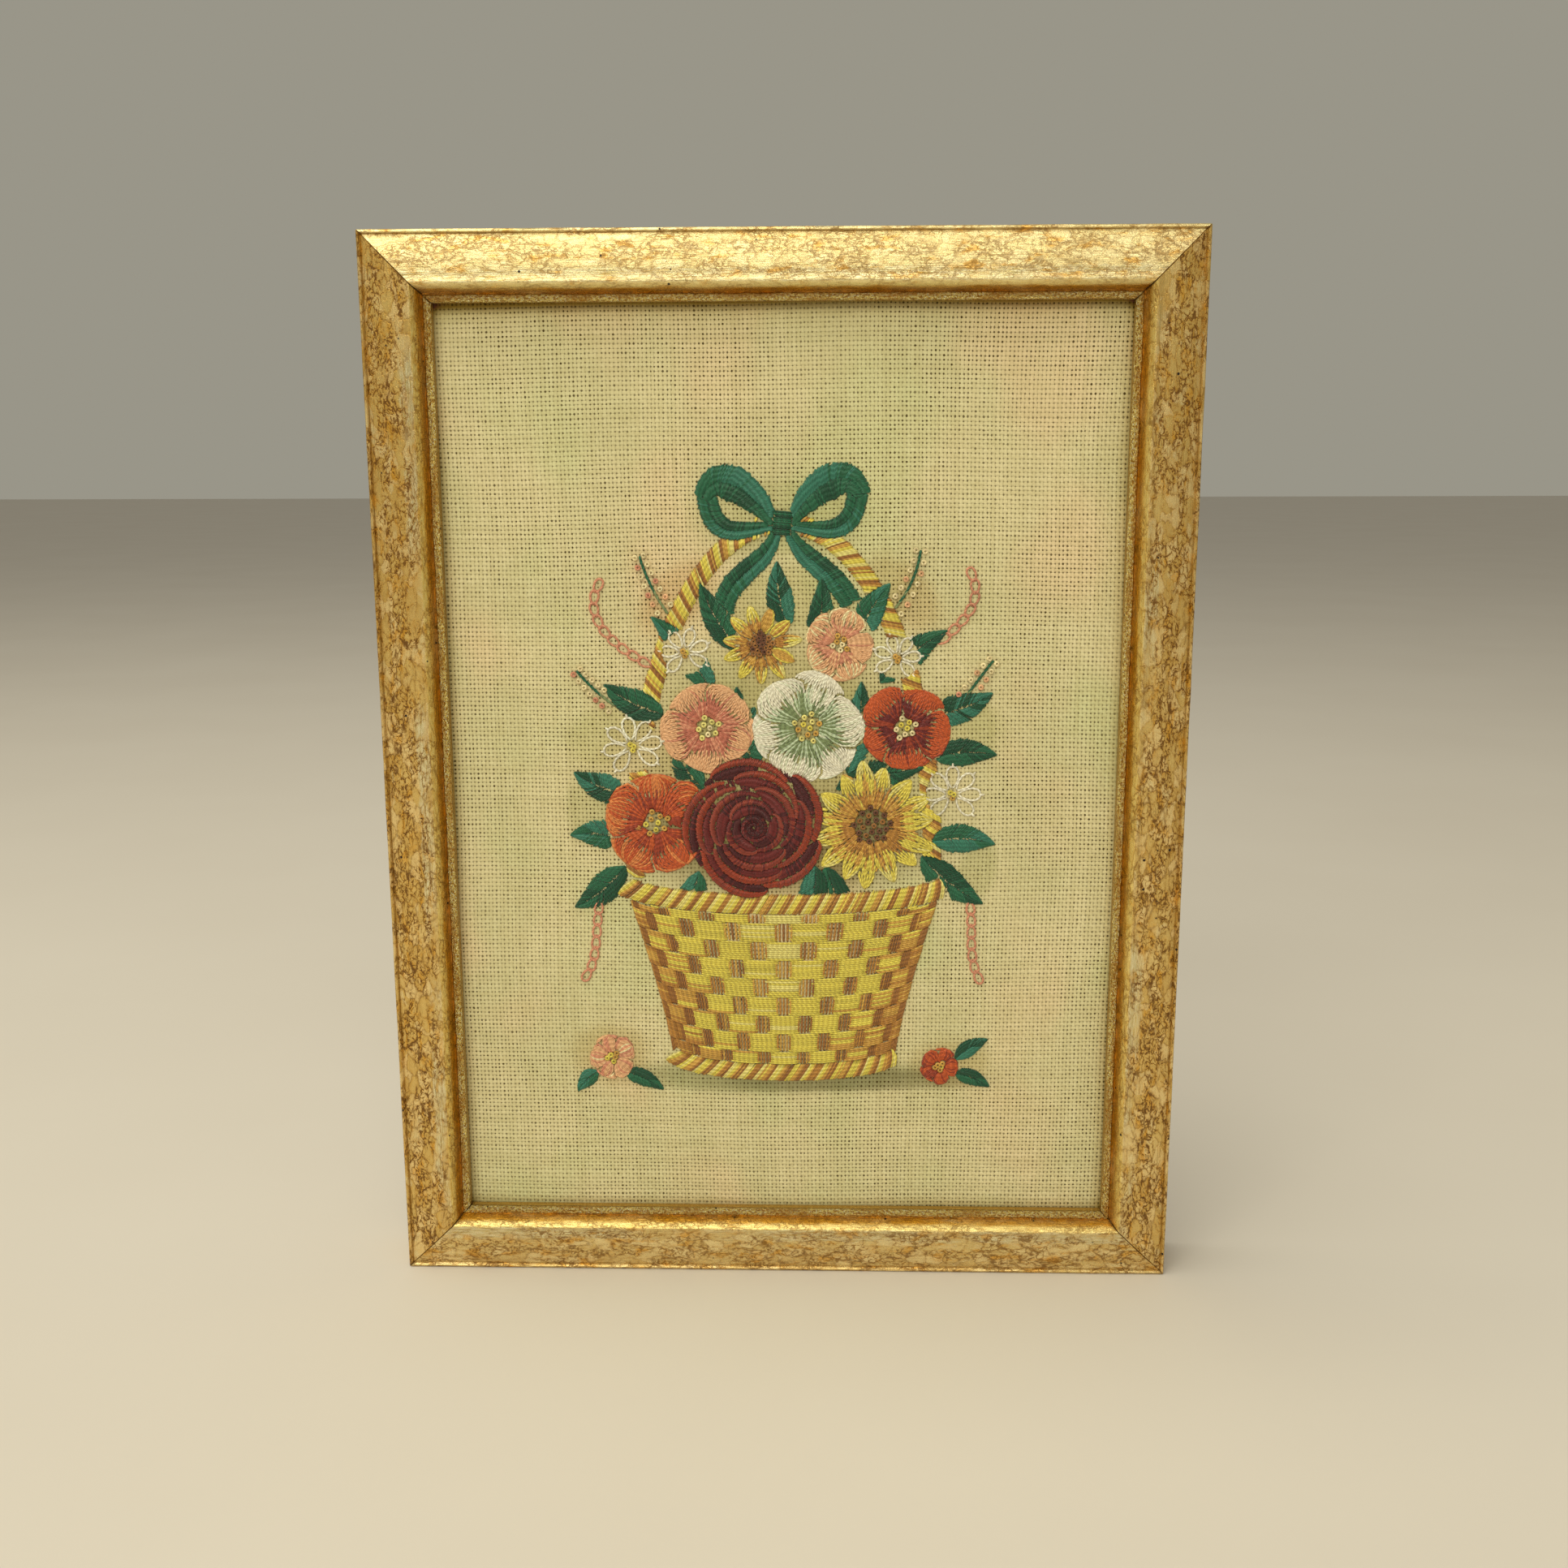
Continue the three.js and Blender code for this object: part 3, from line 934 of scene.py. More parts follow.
def bow_curve(points):
    """A Bezier curve with those points as its handles."""
    t = np.linspace(0, 1, CURVE_POINTS)[:, None]
    level = [np.asarray(p, float)[None] * np.ones_like(t) for p in points]
    while len(level) > 1:
        level = [a * (1 - t) + b * t for a, b in zip(level, level[1:])]
    return level[0]


def petal(centre, turn, inner, outer, half_width, bend=0.0, peak=0.62, roundness=0.55):
    """A petal that points away from the centre at the angle turn."""
    out, side = heading(turn)
    centre = np.asarray(centre, float)
    middle = centre + (inner + outer) / 2 * out + bend * side
    spine = bow_curve([centre + inner * out, middle, centre + outer * out])
    s = np.linspace(0, 1, len(spine))
    widths = half_width * np.maximum(swell(s, peak, roundness), 0.28 * (1 - s))
    return Blade(spine, widths)


def leaf(base, tip, half_width, bend):
    base, tip = np.asarray(base, float), np.asarray(tip, float)
    side = np.array([base[1] - tip[1], tip[0] - base[0]]) / np.hypot(*(tip - base))
    spine = bow_curve([base, (base + tip) / 2 + bend * side, tip])
    return Blade(spine, half_width * swell(np.linspace(0, 1, len(spine)), 0.42, 0.85))


def crescent(centre, radius, start, sweep, half_width):
    """A petal of a rose, curled round its centre. Its far end opens outwards over the next petal."""
    opening = 0.13
    angles = np.radians(np.linspace(start, start + sweep, CURVE_POINTS))
    reach = radius * np.linspace(1 - opening, 1 + opening, CURVE_POINTS)[:, None]
    spine = np.asarray(centre) + reach * np.column_stack([np.cos(angles), np.sin(angles)])
    return Blade(spine, half_width * swell(np.linspace(0, 1, CURVE_POINTS), 0.55, 0.45))


# Sewing

class Needlework:
    """Plans the stitches from the front motifs to the back ones, which end where a front one begins."""

    def __init__(self):
        self.rng = np.random.default_rng(SEED + 1)
        self.taken = np.zeros(np.ceil(2 * MASK_REACH / MASK_CELL).astype(int), bool)
        self.groups = {}
        self.group = None

    def start(self, group):
        self.group = self.groups.setdefault(group, [])

    def cell(self, points):
        index = np.floor((points + MASK_REACH) / MASK_CELL).astype(int)
        return tuple(np.clip(index, 0, np.array(self.taken.shape) - 1).T)

    def cover(self, outline):
        """Nothing sewn later shows inside that closed outline."""
        low = np.floor((outline.min(0) + MASK_REACH) / MASK_CELL).astype(int)
        high = np.ceil((outline.max(0) + MASK_REACH) / MASK_CELL).astype(int)
        low, high = np.maximum(low, 0), np.minimum(high, self.taken.shape)
        columns, rows = (np.arange(low[i], high[i]) for i in (0, 1))
        x = (columns + 0.5)[:, None] * MASK_CELL - MASK_REACH[0]
        y = (rows + 0.5)[None, :] * MASK_CELL - MASK_REACH[1]
        inside = np.zeros((len(columns), len(rows)), bool)
        for (x0, y0), (x1, y1) in zip(outline, np.roll(outline, -1, axis=0)):
            if y0 != y1:
                inside ^= ((y0 > y) != (y1 > y)) & (x < (x1 - x0) * (y - y0) / (y1 - y0) + x0)
        self.taken[low[0]:high[0], low[1]:high[1]] |= inside

    def shown_run(self, path):
        """The longest stretch of a path that no front motif hides, as two shares of it."""
        q = np.linspace(0, 1, 33)
        free = ~self.taken[self.cell(path(q))]
        best, start = (0, 0), None
        for i, is_free in enumerate(np.append(free, False)):
            if is_free and start is None:
                start = i
            elif not is_free and start is not None:
                best = max(best, (i - 1 - start, start))
                start = None
        span, first = best
        return q[first], q[min(first + span, len(q) - 1)]

    def sew(self, path, colour, lift, arch=0.12, stations=FLAT_STATIONS, tuck=True):
        """One strand over the cloth along path, a function from shares to points."""
        low, high = self.shown_run(path) if tuck else (0.0, 1.0)
        points = path(low + stations * (high - low))
        if np.hypot(*np.diff(points, axis=0).T).sum() < SHORTEST_STITCH:
            return
        ends = 1 - np.abs(2 * stations - 1) ** 6
        profile = np.sqrt(np.clip(ends, 0, 1))
        heights = -END_DEPTH + (END_DEPTH + lift) * profile + arch * (1 - (2 * stations - 1) ** 2)
        heights = heights + self.rng.uniform(-0.02, 0.04)
        colour = np.clip(linear(THREADS[colour]) * self.rng.normal(1, 0.06), 0.003, 1)
        breadth = STRAND_WIDTH * self.rng.uniform(0.92, 1.06) * (0.45 + 0.55 * profile)
        self.group.append((points, heights, breadth, colour))

    def pick(self, shades, share, spread=0.12):
        """One of the shades, by how far along them share is, and some chance."""
        place = np.clip(share + self.rng.normal(0, spread), 0, 0.999)
        return shades[int(place * len(shades))]

    def long_and_short(self, blade, shades):
        """Rows of staggered stitches along the blade, as painted in thread."""
        rows = max(1, round(blade.length / LONG_STITCH))
        step = 1 / rows
        for row in reversed(range(rows)):
            low, high = row * step, (row + 1) * step
            count = max(2, round(2 * blade.width(low + 0.6 * step) / STRAND_PITCH))
            for k in range(count):
                t = (2 * k + 1) / count - 1
                stagger = (0.22 if k % 2 else -0.18) * step
                begin = low - 0.22 * step + (stagger if row else 0) + self.rng.normal(0, 0.06) * step
                finish = high + (stagger if row < rows - 1 else 0) + self.rng.normal(0, 0.04) * step
                tone = self.pick(shades, (begin + finish) / 2)
                self.sew(lambda q: blade.place(begin + q * (finish - begin), 0.97 * t), tone,
                         0.1 + 0.03 * (rows - row))

    def satin(self, blade, shades, low=-1.0, high=1.0, slant=0.0, lift=0.12, arch=0.14, fan=1.0, turns=1):
        """Stitches side by side across the blade, from the share low to the share high of its width.
        The shades follow each other along it, as often as there are turns."""
        count = max(2, round(blade.length * fan / STRAND_PITCH))
        for k in range(count):
            s = (k + 0.5 + self.rng.normal(0, 0.08)) / count
            lean = slant / blade.length
            first = low + self.rng.normal(0, 0.04)
            last = high + self.rng.normal(0, 0.04)
            tone = self.pick(shades, s * turns % 1)
            self.sew(lambda q: blade.place(s + lean * (q - 0.5), first + q * (last - first)),
                     tone, lift, arch)

    def stem_line(self, curve, shades, stitch, thick, lift=0.1):
        """A rope-like line of slanting stitches that lie half beside each other."""
        line = Blade(curve, np.full(len(curve), thick))
        count = max(2, round(line.length / (stitch * 0.5)))
        reach = stitch / line.length / 2
        for k in range(count):
            s = (k + 0.5) / count
            self.sew(lambda q: line.place(s + reach * (2 * q - 1), 1 - 2 * q), self.pick(shades, s),
                     lift + 0.02 * (k % 2))

    def loop(self, base, turn, length, width, colour, lift=0.12, tied=True):
        """A looped stitch that points away from its base at the angle turn."""
        out, side = heading(turn)

        def teardrop(q):
            swing = 2 * math.pi * q
            ahead = length * (1 - np.cos(swing)) / 2
            aside = width / 2 * np.sin(swing) * np.abs(np.sin(swing / 2)) ** 0.7 * 1.25
            return np.asarray(base) + ahead[:, None] * out + aside[:, None] * side
        self.sew(teardrop, colour, lift, 0.05, stations=LOOP_STATIONS, tuck=False)
        if tied:
            tip = np.asarray(base) + (length - 0.25) * out
            self.sew(lambda q: tip + (q * 0.9)[:, None] * out, colour, lift + 0.16, 0.08, tuck=False)

    def chain_line(self, curve, colour):
        line = Blade(curve, np.full(len(curve), 0.1))
        for k in range(int(line.length / CHAIN_LINK)):
            here = line.place(k * CHAIN_LINK / line.length, 0)
            ahead = line.place((k + 1) * CHAIN_LINK / line.length, 0)
            turn = math.degrees(math.atan2(ahead[1] - here[1], ahead[0] - here[0]))
            lift = 0.12 + 0.05 * (k % 2)
            if not self.taken[self.cell(ahead)]:
                self.loop(here, turn, CHAIN_LINK * 1.22, CHAIN_WIDTH, colour, lift, tied=False)

    def knot(self, place, colour):
        """A French knot: the strand wound round the needle and drawn down."""
        place = np.asarray(place, float)
        if self.taken[self.cell(place)]:
            return
        start = self.rng.uniform(0, 2 * math.pi)
        radius = (KNOT_SIZE - STRAND_WIDTH) / 2

        def wound(q):
            swing = start + 2 * math.pi * 1.45 * q
            out = radius * (1 - 0.45 * np.abs(2 * q - 1) ** 3)
            return place + np.column_stack([out * np.cos(swing), out * np.sin(swing)])
        self.sew(wound, colour, 0.34, 0.16, stations=LOOP_STATIONS, tuck=False)
        self.cover(ring_round(place, 0.45 * KNOT_SIZE, 45))

    def knot_cluster(self, centre, radius, count, shades):
        """Knots laid on a sunflower spiral."""
        for k in range(count):
            reach, swing = radius * math.sqrt((k + 0.4) / count), k * SUNFLOWER_TURN
            place = np.asarray(centre) + reach * np.array([math.cos(swing), math.sin(swing)])
            self.knot(place, self.pick(shades, reach / radius, 0.25))


# Motifs, each with its middle given as right of and above the middle of the picture

def every_other(count):
    """The numbers up to count, the even ones first, so that odd petals tuck under even ones."""
    return list(range(0, count, 2)) + list(range(1, count, 2))


def round_flower(work, centre, radius, petals, shades, heart, turn, knots=9):
    """Broad petals in long and short stitch round a heart of knots."""
    work.knot_cluster(centre, radius * HEART_SHARE, knots, heart)
    half_width = radius * math.sin(math.pi / petals)
    for k in every_other(petals):
        angle = turn + 360 * k / petals + work.rng.normal(0, 2)
        outer = radius * work.rng.uniform(0.95, 1.05)
        bend = radius * work.rng.normal(0, 0.05)
        one = petal(centre, angle, radius * HEART_SHARE * 0.8, outer, half_width, bend)
        work.long_and_short(one, shades)
        work.cover(one.outline())


def rayed_flower(work, centre, radius, rays, shades, heart, turn):
    """Narrow pointed rays round a dark seeded heart."""
    work.knot_cluster(centre, radius * 0.3, 22, heart)
    for k in every_other(rays):
        angle = turn + 360 * k / rays + work.rng.normal(0, 2)
        outer = radius * work.rng.uniform(0.92, 1.06)
        one = petal(centre, angle, radius * 0.27, outer, radius * 0.17, peak=0.5, roundness=0.75)
        work.long_and_short(one, shades)
        work.cover(one.outline())


def shade_between(work, centre, radius, low, high):
    """Dark stitches that point outwards, from the share low to the share high of the radius."""
    for angle in np.arange(0, 360, 360 / round(2 * math.pi * radius * high / STRAND_PITCH)):
        out = heading(angle)[0]
        tone = work.pick(["burgundy_dark", "burgundy"], 0.3, 0.3)
        work.sew(lambda q: centre + radius * (low + q * (high - low))[:, None] * out, tone, 0.04, 0.06)


def rose(work, centre, radius):
    """Curled petals that wrap a dark heart, each with a pale turned edge, and shade sewn in between."""
    centre = np.asarray(centre, float)
    spiral = np.linspace(0, 1, 60)
    swing = 2 * math.pi * 1.9 * spiral
    reach = radius * (0.03 + 0.17 * spiral)
    heart = centre + np.column_stack([reach * np.cos(swing), reach * np.sin(swing)])
    work.stem_line(heart, ["burgundy_dark", "burgundy"], stitch=1.7, thick=0.2, lift=0.32)
    shade_between(work, centre, radius, 0.02, 0.2)
    work.cover(ring_round(centre, 0.2 * radius, 20))
    rings = [
        (0.30, 0.125, 3, 138, 20, ["burgundy_dark", "burgundy"], ["burgundy", "auburn"]),
        (0.48, 0.15, 3, 136, 75, ["burgundy_dark", "burgundy"], ["burgundy", "auburn", "auburn"]),
        (0.66, 0.16, 4, 106, 10, ["burgundy_dark", "burgundy"], ["auburn", "rust_dark", "auburn"]),
        (0.84, 0.165, 5, 86, 48, ["burgundy", "burgundy_dark"], ["rust_dark", "auburn", "rust_dark"]),
    ]
    for reach, half, count, sweep, start, inside, edge in rings:
        for k in range(count):
            turn = start + 360 * k / count + work.rng.normal(0, 4)
            one = crescent(centre, radius * reach, turn, sweep, radius * half)
            fan = 1 + half / reach
            work.satin(one, edge, -1.0, -0.35, slant=0.4, fan=fan, lift=0.2, arch=0.18)
            work.satin(one, inside, -0.3, 1.0, slant=0.4, fan=fan, lift=0.12)
            work.cover(one.outline())
    for low, high in ((0.18, 0.42), (0.4, 0.62), (0.6, 0.82), (0.78, 0.97)):
        shade_between(work, centre, radius, low, high)
    work.cover(ring_round(centre, 0.9 * radius, 20))


def open_daisy(work, centre, radius, petals, turn):
    """Looped white petals round a few knots, with the cloth showing inside the loops."""
    work.knot_cluster(centre, radius * 0.14, 3, ["straw", "ochre"])
    for k in range(petals):
        angle = turn + 360 * k / petals
        start = np.asarray(centre) + radius * 0.2 * heading(angle)[0]
        if not work.taken[work.cell(start)]:
            work.loop(start, angle, radius * 0.78, radius * 0.42, "white")
    work.cover(ring_round(centre, 0.9 * radius, 24))


def sewn_leaf(work, base, tip, half_width, bend, shades):
    """Two rows of slanting stitches that meet at the rib."""
    one = leaf(base, tip, half_width, bend)
    dark, light = shades
    work.satin(one, [dark, dark, light], 0.02, 1.0, slant=2.2, arch=0.1)
    work.satin(one, [light, light, dark], -0.02, -1.0, slant=2.2, arch=0.1)
    work.cover(one.outline())


def twisted_rope(work, curve, half_width):
    """A twisted cane: slanting satin whose shades go from light to dark with each twist."""
    one = Blade(curve, np.full(len(curve), half_width))
    shades = ["straw_pale", "straw", "straw", "ochre", "ochre_deep", "tan"]
    work.satin(one, shades, slant=2.4, lift=0.16, arch=0.22, turns=one.length / CANE_TWIST)
    work.cover(one.outline())


def ribbon(work, points, widths, shades, fan):
    """Ribbon, with half of its width in each shade. A high fan crowds the stitches in its bends."""
    curve = bow_curve(points)
    s = np.linspace(0, 1, len(curve))
    one = Blade(curve, np.interp(s, np.linspace(0, 1, len(widths)), widths))
    work.satin(one, shades[0], -1.0, 0.1, slant=0.8, fan=fan)
    work.satin(one, shades[1], 0.0, 1.0, slant=0.8, fan=fan)
    work.cover(one.outline())


def basket_place(u, v):
    """A point of the basket's front: u from -1 to 1 across it, v from 0 at its foot to 1 at its rim."""
    half = BASKET_FOOT_HALF + (BASKET_TOP_HALF - BASKET_FOOT_HALF) * v ** BASKET_FLARE
    height = BASKET_FOOT + (BASKET_TOP - BASKET_FOOT) * v - BASKET_SAG * (1 - u**2)
    across = half * np.sin(u * BASKET_BEND) / math.sin(BASKET_BEND)
    return np.stack(np.broadcast_arrays(across, height), axis=-1)


def level_block(work, middle, low, high):
    """A block of level stitches over the stake at middle, between two heights."""
    left = max(middle - 0.8 * STAKE_SPACING, -1)
    right = min(middle + 0.8 * STAKE_SPACING, 1)
    if right - left < 0.35 * STAKE_SPACING:
        return
    for k in range(BLOCK_STRANDS):
        v = low + (k + 0.5) / BLOCK_STRANDS * (high - low)
        edge = abs(middle) * 0.75 + 0.28 * (1 - v) + 0.08 * abs(k - 4) / 4
        tone = work.pick(["straw_pale", "straw", "straw", "straw", "ochre", "ochre_deep"], edge, 0.1)
        start = left + work.rng.normal(0, 0.03) * STAKE_SPACING
        end = right + work.rng.normal(0, 0.03) * STAKE_SPACING
        work.sew(lambda q: basket_place(start + q * (end - start), v), tone, 0.12, 0.26)


def upright_stake(work, middle, low, high):
    """The stitches of the stake at middle, where they show between two heights."""
    for k in range(-2, 3):
        u = middle + 0.15 * k * STAKE_SPACING
        tone = work.pick(["ochre", "ochre_deep", "tan", "tan"], 0.3 + 0.5 * abs(middle), 0.2)
        work.sew(lambda q: basket_place(u + 0 * q, low + q * (high - low)), tone, 0.08, 0.1)


def basket_front(work):
    """Level stitches and upright stakes that pass over and under each other."""
    for row in range(BASKET_ROWS):
        low, high = row / BASKET_ROWS, (row + 1) / BASKET_ROWS
        for stake in range(-1, BASKET_STAKES + 1):
            middle = -1 + (stake + 0.5) * STAKE_SPACING
            if (stake + row) % 2:
                level_block(work, middle, low, high)
            elif 0 <= stake < BASKET_STAKES:
                upright_stake(work, middle, low, high)
    u = np.linspace(-1, 1, 40)
    work.cover(np.concatenate([basket_place(u, 0 * u), basket_place(u[::-1], 0 * u + 1)]))


def plan_flowers(work):
    work.start("flowers_front")
    rose(work, (-5.5, -9.5), 13.0)
    rayed_flower(work, (16.5, -9.0), 12.0, 15, ["ochre_deep", "ochre", "straw", "straw", "straw_pale"],
                 ["brown", "tan", "brown"], turn=4)
    round_flower(work, (-24.0, -8.5), 9.5, 5, ["rust_dark", "rust", "rust", "rust_pale"],
                 ["straw", "ochre"], turn=20)
    round_flower(work, (4.5, 9.5), 10.5, 6, ["sage", "mint", "mint_white", "white", "white"],
                 ["straw", "ochre", "straw_pale"], turn=12, knots=12)
    work.start("flowers_back")
    round_flower(work, (-14.0, 9.5), 8.6, 5, ["pink_deep", "pink", "peach", "peach"],
                 ["cream", "straw_pale"], turn=50)
    round_flower(work, (22.5, 9.5), 8.2, 5, ["burgundy", "rust_dark", "rust", "rust"],
                 ["straw", "cream"], turn=-10)
    rayed_flower(work, (-4.0, 25.0), 7.4, 11, ["ochre_deep", "ochre", "straw", "straw_pale"],
                 ["brown", "tan"], turn=8)
    round_flower(work, (10.5, 25.0), 6.4, 5, ["pink", "peach", "peach", "cream"],
                 ["cream", "ochre"], turn=72, knots=7)
    daisies = [
        ((-28.0, 6.0), 5.6, 8, 10), ((31.5, -3.0), 5.4, 8, 0),
        ((-18.0, 23.5), 4.6, 7, 22), ((21.0, 22.5), 4.4, 7, 5),
    ]
    for centre, radius, petals, turn in daisies:
        open_daisy(work, centre, radius, petals, turn)


def plan_basket(work):
    work.start("basket_ropes")
    u = np.linspace(-1, 1, 61)
    rim = basket_place(u * 1.03, 0 * u + 1.0)
    twisted_rope(work, rim, 2.0)
    foot = basket_place(u * 1.03, 0 * u)
    twisted_rope(work, foot + np.array([0, -0.6]), 1.7)
    work.start("basket_front")
    basket_front(work)


def plan_leaves(work):
    work.start("leaves")
    dark, mid, cool = ("green_dark", "green"), ("green", "teal"), ("green_dark", "teal")
    rows = [
        ((-30, -17), (-39.5, -25), 2.9, 1.6, dark), ((-30, -12), (-40, -11), 2.7, -1.5, mid),
        ((-29, -3), (-39, 1), 2.7, 1.5, cool), ((-22, 12), (-33, 17.5), 2.8, 1.4, dark),
        ((-13, 16), (-24, 30), 2.7, -1.6, mid), ((-8, 24), (-15, 36), 2.5, 1.4, dark),
        ((1, 28), (-1, 40), 2.5, 1.2, cool), ((6, 24), (7, 37), 2.4, -1.2, dark),
        ((14, 26), (19.5, 36), 2.6, 1.4, mid), ((18, 18), (30, 27.5), 2.7, 1.5, dark),
        ((27, 12), (38.5, 16), 2.8, -1.6, cool), ((28, 4), (39.5, 4.5), 2.6, 1.4, dark),
        ((28, -12), (39.5, -12.5), 2.8, 1.5, mid), ((26, -15), (37.5, -24), 2.9, -1.5, dark),
        ((6, -17), (3.5, -30), 2.8, 1.5, cool), ((8, -17), (13.5, -28.5), 2.7, -1.3, dark),
        ((-16, -18), (-21, -30), 2.7, 1.4, mid), ((-5, 1), (-8.5, 17), 3.0, 1.3, dark),
        ((12, 1), (14.5, 18), 3.0, -1.3, cool), ((-15, -2), (-20, 6), 2.6, 1.2, dark),
        ((10, -2), (26, 2), 2.9, 1.0, dark), ((-12, 2), (-3, 14), 2.8, 1.0, cool),
    ]
    for base, tip, half_width, bend, shades in rows:
        sewn_leaf(work, base, tip, half_width, bend, shades)


def plan_handle(work):
    work.start("handle_and_bow")
    knot_at = np.array([0.0, 47.0])
    curve = bow_curve([knot_at + (-0.2, -2.1), knot_at, knot_at + (0.2, 2.1)])
    one = Blade(curve, np.full(len(curve), 1.7))
    work.satin(one, ["green_dark", "green", "green_dark"], lift=0.3)
    work.cover(one.outline())
    teal, deep = ["teal", "teal", "green"], ["green", "green_dark", "green"]
    loops_and_tails = [
        ([(-1.5, 47), (-5, 52.5), (-12, 58), (-14.5, 51.5)], [0.9, 2.4, 3.2, 2.8, 1.5], (teal, deep), 1.9),
        ([(-1.5, 46.5), (-7, 46), (-13, 43.0), (-13.6, 52.5)], [0.7, 1.5, 1.9, 1.9], (deep, teal), 1.5),
        ([(1.5, 47), (5, 53.0), (11.5, 58.5), (14.5, 52.0)], [0.9, 2.4, 3.2, 2.7, 1.5], (deep, teal), 1.9),
        ([(1.5, 46.5), (7, 46), (13, 43.5), (13.6, 53.0)], [0.7, 1.5, 1.9, 1.9], (teal, deep), 1.5),
        ([(-1.2, 45.5), (-2.5, 39), (-10, 38.5), (-11, 31)], [0.9, 1.9, 2.1, 2.0], (deep, teal), 1.25),
        ([(1.2, 45.5), (3.5, 40), (9, 39), (12.5, 32.5)], [0.9, 1.9, 2.1, 2.0], (teal, deep), 1.25),
    ]
    for points, widths, shades, fan in loops_and_tails:
        ribbon(work, points, widths, shades, fan)
    swing = np.linspace(0, math.pi, 121)
    arch = np.column_stack([28.0 * np.cos(swing), -19 + 66.0 * np.sin(swing) ** 0.92])
    twisted_rope(work, arch, 1.75)


def plan_sprays(work):
    work.start("sprays")
    tendrils = [
        [(-22, 20), (-31, 24), (-38, 30), (-33, 37)], [(25, 22), (31, 28), (39, 32), (33, 40)],
        [(-33, -17), (-37, -26), (-34, -36), (-39, -40)], [(33, -17), (38, -27), (33, -34), (38.5, -41)],
    ]
    for points in tendrils:
        work.chain_line(bow_curve(points), "pink")
    stems = [
        [(-28, 12), (-33, 14), (-38, 20)], [(30, 10), (34, 16), (38.5, 22)],
        [(-19, 28), (-24, 34), (-26, 41)], [(17, 28), (24, 34), (25, 42)],
    ]
    for points in stems:
        curve = bow_curve(points)
        work.stem_line(curve, ["sage", "green"], stitch=2.0, thick=0.1)
        line = Blade(curve, np.full(len(curve), 1.0))
        for s in np.linspace(0.3, 1.0, 7):
            for side in (-1.5, 1.5):
                tone = work.pick(["peach", "cream", "pink", "cream"], s, 0.4)
                work.knot(line.place(s, side * (1.15 - 0.6 * s)), tone)
    work.start("ground_sprigs")
    round_flower(work, (-33.0, -55.0), 4.6, 5, ["pink", "peach", "cream"],
                 ["ochre", "straw"], turn=30, knots=5)
    sewn_leaf(work, (-31, -58), (-23.5, -61.5), 1.7, 0.9, ("green_dark", "green"))
    sewn_leaf(work, (-36, -58), (-40, -62), 1.6, -0.8, ("green", "teal"))
    round_flower(work, (30.0, -56.5), 3.6, 5, ["rust_dark", "rust", "rust_pale"],
                 ["straw", "ochre"], turn=0, knots=5)
    sewn_leaf(work, (33, -58), (39.5, -60.5), 1.6, 0.9, ("green_dark", "green"))
    sewn_leaf(work, (33, -55), (39, -51), 1.6, 0.8, ("green_dark", "teal"))


# Printed under the stitches: right, above, half its width, half its height, turn, colour, strength
PRINTED_TINTS = [
    (0, -58.5, 31, 3.6, 0, (150, 160, 128), 0.55), (14, -59.5, 26, 2.2, 0, (120, 110, 84), 0.35),
    (0, 2, 27, 24, 0, (176, 176, 118), 0.5), (0, -12, 29, 10, 0, (128, 112, 70), 0.55),
    (-33, 8, 8, 6, 30, (202, 208, 160), 0.4), (33, 10, 8, 6, -30, (202, 208, 160), 0.4),
    (-36, -6, 5, 7, 10, (184, 196, 152), 0.38), (36, -18, 4, 6, -15, (184, 196, 152), 0.38),
    (-20, 33, 9, 5, 45, (222, 190, 150), 0.4), (22, 34, 9, 5, -45, (222, 190, 150), 0.4),
    (0, 33, 14, 6, 0, (206, 212, 170), 0.45), (-33, -54, 8, 6, 0, (214, 196, 150), 0.4),
    (32, -56, 8, 5, 0, (214, 196, 150), 0.4), (0, 48, 17, 7, 0, (200, 208, 172), 0.4),
]


def strand_lines(strands):
    """The middle lines of strands that have equally many stations, as they lie on the cockled cloth."""
    flat = np.array([s[0] for s in strands])
    heights = np.array([s[1] for s in strands])
    rise = CLOTH_RISE + heights - cockle(flat[..., 0], flat[..., 1])
    return np.stack([flat[..., 0], depth_of(rise), MIDDLE_HEIGHT + flat[..., 1]], axis=-1)


def tube_rings(lines, breadths):
    """A ring of points round each station of each line, less tall than it is broad."""
    lean = np.gradient(lines, axis=1)
    lean /= np.maximum(np.linalg.norm(lean, axis=-1, keepdims=True), 1e-9)
    out = np.array([0.0, -1.0, 0.0])
    side = np.cross(lean, out)
    side /= np.maximum(np.linalg.norm(side, axis=-1, keepdims=True), 1e-9)
    top = np.cross(side, lean)
    swing = np.arange(STRAND_SIDES) / STRAND_SIDES * 2 * math.pi
    half = breadths[..., None, None] / 2
    ring = side[:, :, None] * np.cos(swing)[:, None] * half
    ring = ring + top[:, :, None] * np.sin(swing)[:, None] * half * STRAND_TALL / STRAND_WIDTH
    return lines[:, :, None] + ring


def wall_corners(here, ahead):
    """What the corners of each wall of a tube hold, from what its points and the next ones round hold."""
    return np.stack([here[:, :-1], ahead[:, :-1], ahead[:, 1:], here[:, 1:]], axis=3)


